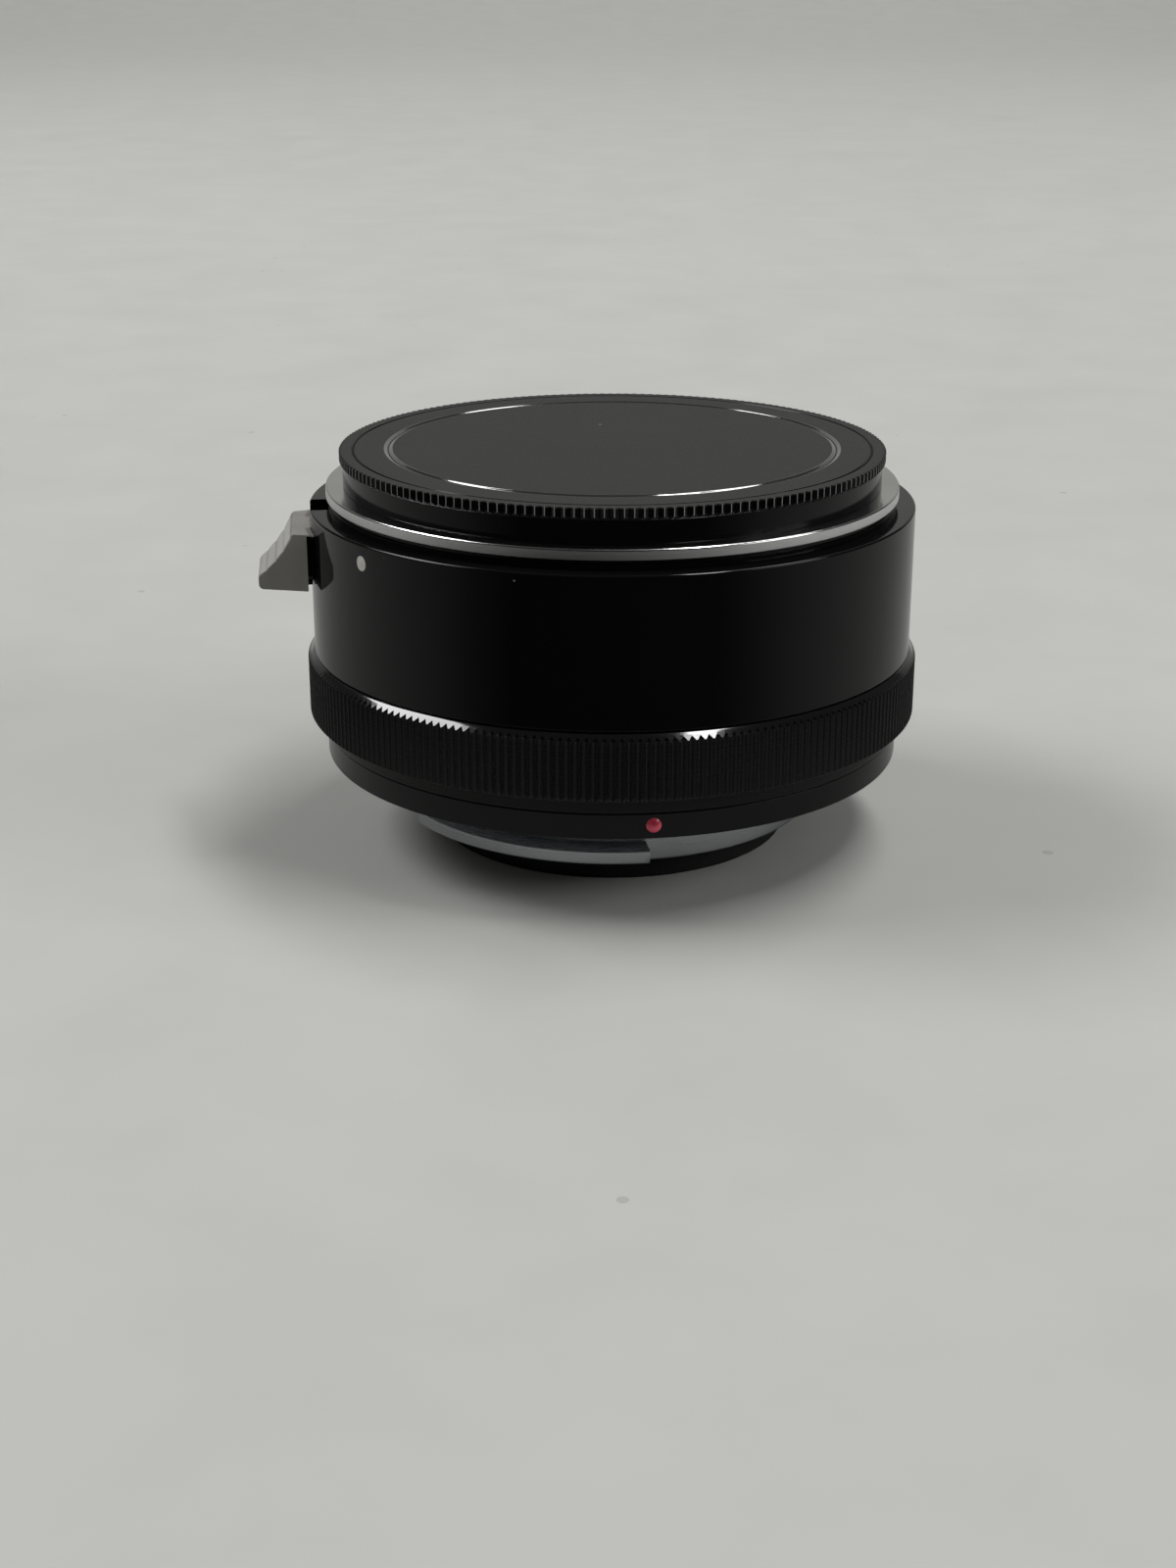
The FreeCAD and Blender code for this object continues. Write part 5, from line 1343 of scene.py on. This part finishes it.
lever_springs = wire_copy("lever_springs", "lever_return_springs")
coupling_spring = wire_copy("coupling_spring", "coupling_return_spring")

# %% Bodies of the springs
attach(lever_springs, "barrel")
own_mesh(lever_springs)

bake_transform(coupling_spring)

# %% [markdown]
# The stage is a pale table that runs up into a wall behind in one wide curve, so no line shows behind
# the tube. It is one strip extruded from edge to edge. Faint mottling and a few specks keep it from
# looking drawn, and mirrored in the tube it counts a little darker, as it does on a contrasty print.

# %% Table and wall
FLOOR = FOOT_END * MM
TABLE_WIDTH = 6.0
TABLE_LINE = ((-2.0, 0), (-0.7, 0), (0.6, 0), (1.6, 0), (2.6, 0), (3.4, 0.6), (3.7, 2.0))
table = line_of("table", [Vector((-TABLE_WIDTH / 2, y, FLOOR + rise)) for y, rise in TABLE_LINE])
bpy.ops.mesh.extrude_edges_move(TRANSFORM_OT_translate={"value": (TABLE_WIDTH, 0, 0)})
bpy.ops.mesh.select_all(action="SELECT")
bpy.ops.mesh.normals_make_consistent(inside=False)
stop_editing()
only(table)
curve = table.modifiers.new("curve", "SUBSURF")
curve.levels = 4
curve.render_levels = 4
bpy.ops.object.modifier_apply(modifier=curve.name)
bpy.ops.object.shade_smooth()
print("table faces:", len(table.data.polygons))

# %% Finish of the table
TABLE_DARK = (0.440, 0.444, 0.421, 1)
TABLE_PALE = (0.470, 0.474, 0.449, 1)
SPECK = (0.20, 0.19, 0.18, 1)
SPECK_STRENGTH = 0.35
MIRRORED_DARKER = 0.30
paper = Finish("pale_table")
mottling = paper.noise(45.0, detail=3.0, roughness=0.6)
specks = dust(paper, grains_per_m=170.0, share=0.07, seed=0.7)
mirrored = paper.node("ShaderNodeLightPath", output="Is Glossy Ray")
plain = paper.mix_colour(mottling.ramp((0.3, 0), (0.7, 1)), TABLE_DARK, TABLE_PALE)
marked = paper.mix_colour(specks * SPECK_STRENGTH, plain, SPECK)
paper.vary(
    Base_Color=paper.mix_colour(mirrored * MIRRORED_DARKER, marked, (0, 0, 0, 1)),
    Roughness=mottling.ramp((0.3, 0.75), (0.7, 0.9)),
)
table.data.materials.append(paper.material)
table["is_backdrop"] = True
print("table height in mm:", round(FLOOR / MM, 2))

# %% [markdown]
# Soft lights stand in for a window at the left, a ceiling light high at the right and the room's own
# low light from the front right, which fills the shadow under the tube. A fourth one faces away from
# the tube and lights the far table and the wall, so the picture stays pale up to its top edge. Two
# small window panes only show as glints in polished edges, most of all in the cap's groove.


# %% Lights
TUBE_MIDDLE = 0.015


def area_lamp(name, place, rotation, size, watts):
    """A lamp of a width and a height in metres."""
    bpy.ops.object.light_add(type="AREA", location=place, rotation=rotation)
    lamp = bpy.context.object
    lamp.name = name
    lamp.data.shape = "RECTANGLE"
    lamp.data.size = size[0]
    lamp.data.size_y = size[1]
    lamp.data.energy = watts
    return lamp


def soft_light(name, azimuth, height_angle, distance, size, watts):
    """A lamp that faces the tube, by its direction from it in degrees and its distance in metres."""
    turn = math.radians(azimuth)
    rise = math.radians(height_angle)
    flat = math.cos(rise)
    direction = Vector((math.cos(turn) * flat, math.sin(turn) * flat, math.sin(rise)))
    rotation = direction.to_track_quat("Z", "Y").to_euler()
    return area_lamp(name, direction * distance + UP * TUBE_MIDDLE, rotation, size, watts)


soft_light("window_light", 168.0, 46.0, 1.6, (0.9, 0.6), 13.5)
soft_light("ceiling_light", 14.5, 72.0, 1.7, (1.3, 0.24), 16.5)
soft_light("room_light", -20.0, 28.0, 1.6, (0.9, 0.5), 8.0)

area_lamp("wall_light", (0, 1.2, 2.3), (math.radians(66), 0, 0), (2.6, 0.5), 56.0)

for name, azimuth, height_angle in (("left_pane", 123.5, 47.4), ("right_pane", 58.0, 52.5)):
    pane = soft_light(name, azimuth, height_angle, 1.6, (0.50, 0.29), 3.5)
    pane.visible_diffuse = False
print("lamps: 6")

# %% [markdown]
# A glossy black tube shows whatever stands in front of it, so a photographer puts a black card there.
# This one is seen only in reflections, and neither the camera nor the light meets it. It is half of
# a cylinder that grows thin towards its two ends, so that no edge of it shows on the barrel.

# %% Black card
CARD_RADIUS = 78 * MM
CARD_HEIGHT = 90 * MM
CARD_REACH = math.radians(80)
bpy.ops.object.select_all(action="DESELECT")
bpy.ops.mesh.primitive_cylinder_add(
    radius=CARD_RADIUS,
    depth=CARD_HEIGHT,
    vertices=48,
    end_fill_type="NOTHING",
    location=(0, 0, FLOOR + CARD_HEIGHT / 2),
)
card = bpy.context.object
card.name = "black_card"
edit(card)
pick("FACE", lambda face: face.calc_center_median().y > -CARD_RADIUS * math.cos(CARD_REACH))
bpy.ops.mesh.delete(type="FACE")
stop_editing()
only(card)
bpy.ops.object.transform_apply(location=True)
card.visible_camera = False
card.visible_diffuse = False
card.visible_shadow = False
velvet = Finish("black_velvet", Base_Color=(0, 0, 0, 1), Roughness=1.0, Specular_IOR_Level=0.0)
x, y, z = velvet.parts_of(velvet.place())
velvet.vary(Alpha=(abs(x) / CARD_RADIUS).ramp((0.50, 1), (0.68, 0.7), (0.83, 0.28), (0.98, 0)))
card.data.materials.append(velvet.material)
card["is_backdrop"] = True
print("card faces:", len(card.data.polygons))

# %% [markdown]
# The air of the studio sends a little light from all sides, so that no shadow is quite black. What the
# tube mirrors of it is weaker, as in a room that is dark behind the camera, so its strength depends on
# the kind of ray that asks for it.

# %% World
AIR_GREY = (0.80, 0.80, 0.80, 1)
AIR_STRENGTH = 0.16
AIR_MIRRORED = 0.05
world = bpy.data.worlds.new("studio_air")
bpy.context.scene.world = world
world.use_nodes = True
background = world.node_tree.nodes["Background"]
background.inputs["Color"].default_value = AIR_GREY
ray = world.node_tree.nodes.new("ShaderNodeLightPath")
level = world.node_tree.nodes.new("ShaderNodeMapRange")
level.inputs["To Min"].default_value = AIR_STRENGTH
level.inputs["To Max"].default_value = AIR_MIRRORED
world.node_tree.links.new(ray.outputs["Is Glossy Ray"], level.inputs["Value"])
world.node_tree.links.new(level.outputs["Result"], background.inputs["Strength"])

bpy.context.scene.view_settings.view_transform = "Standard"
print("world strength:", AIR_STRENGTH, "and mirrored:", AIR_MIRRORED)

# %% Size of the visual model
low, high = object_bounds()
print("visual model in mm:", [round((b - a) / MM, 2) for a, b in zip(low, high)])
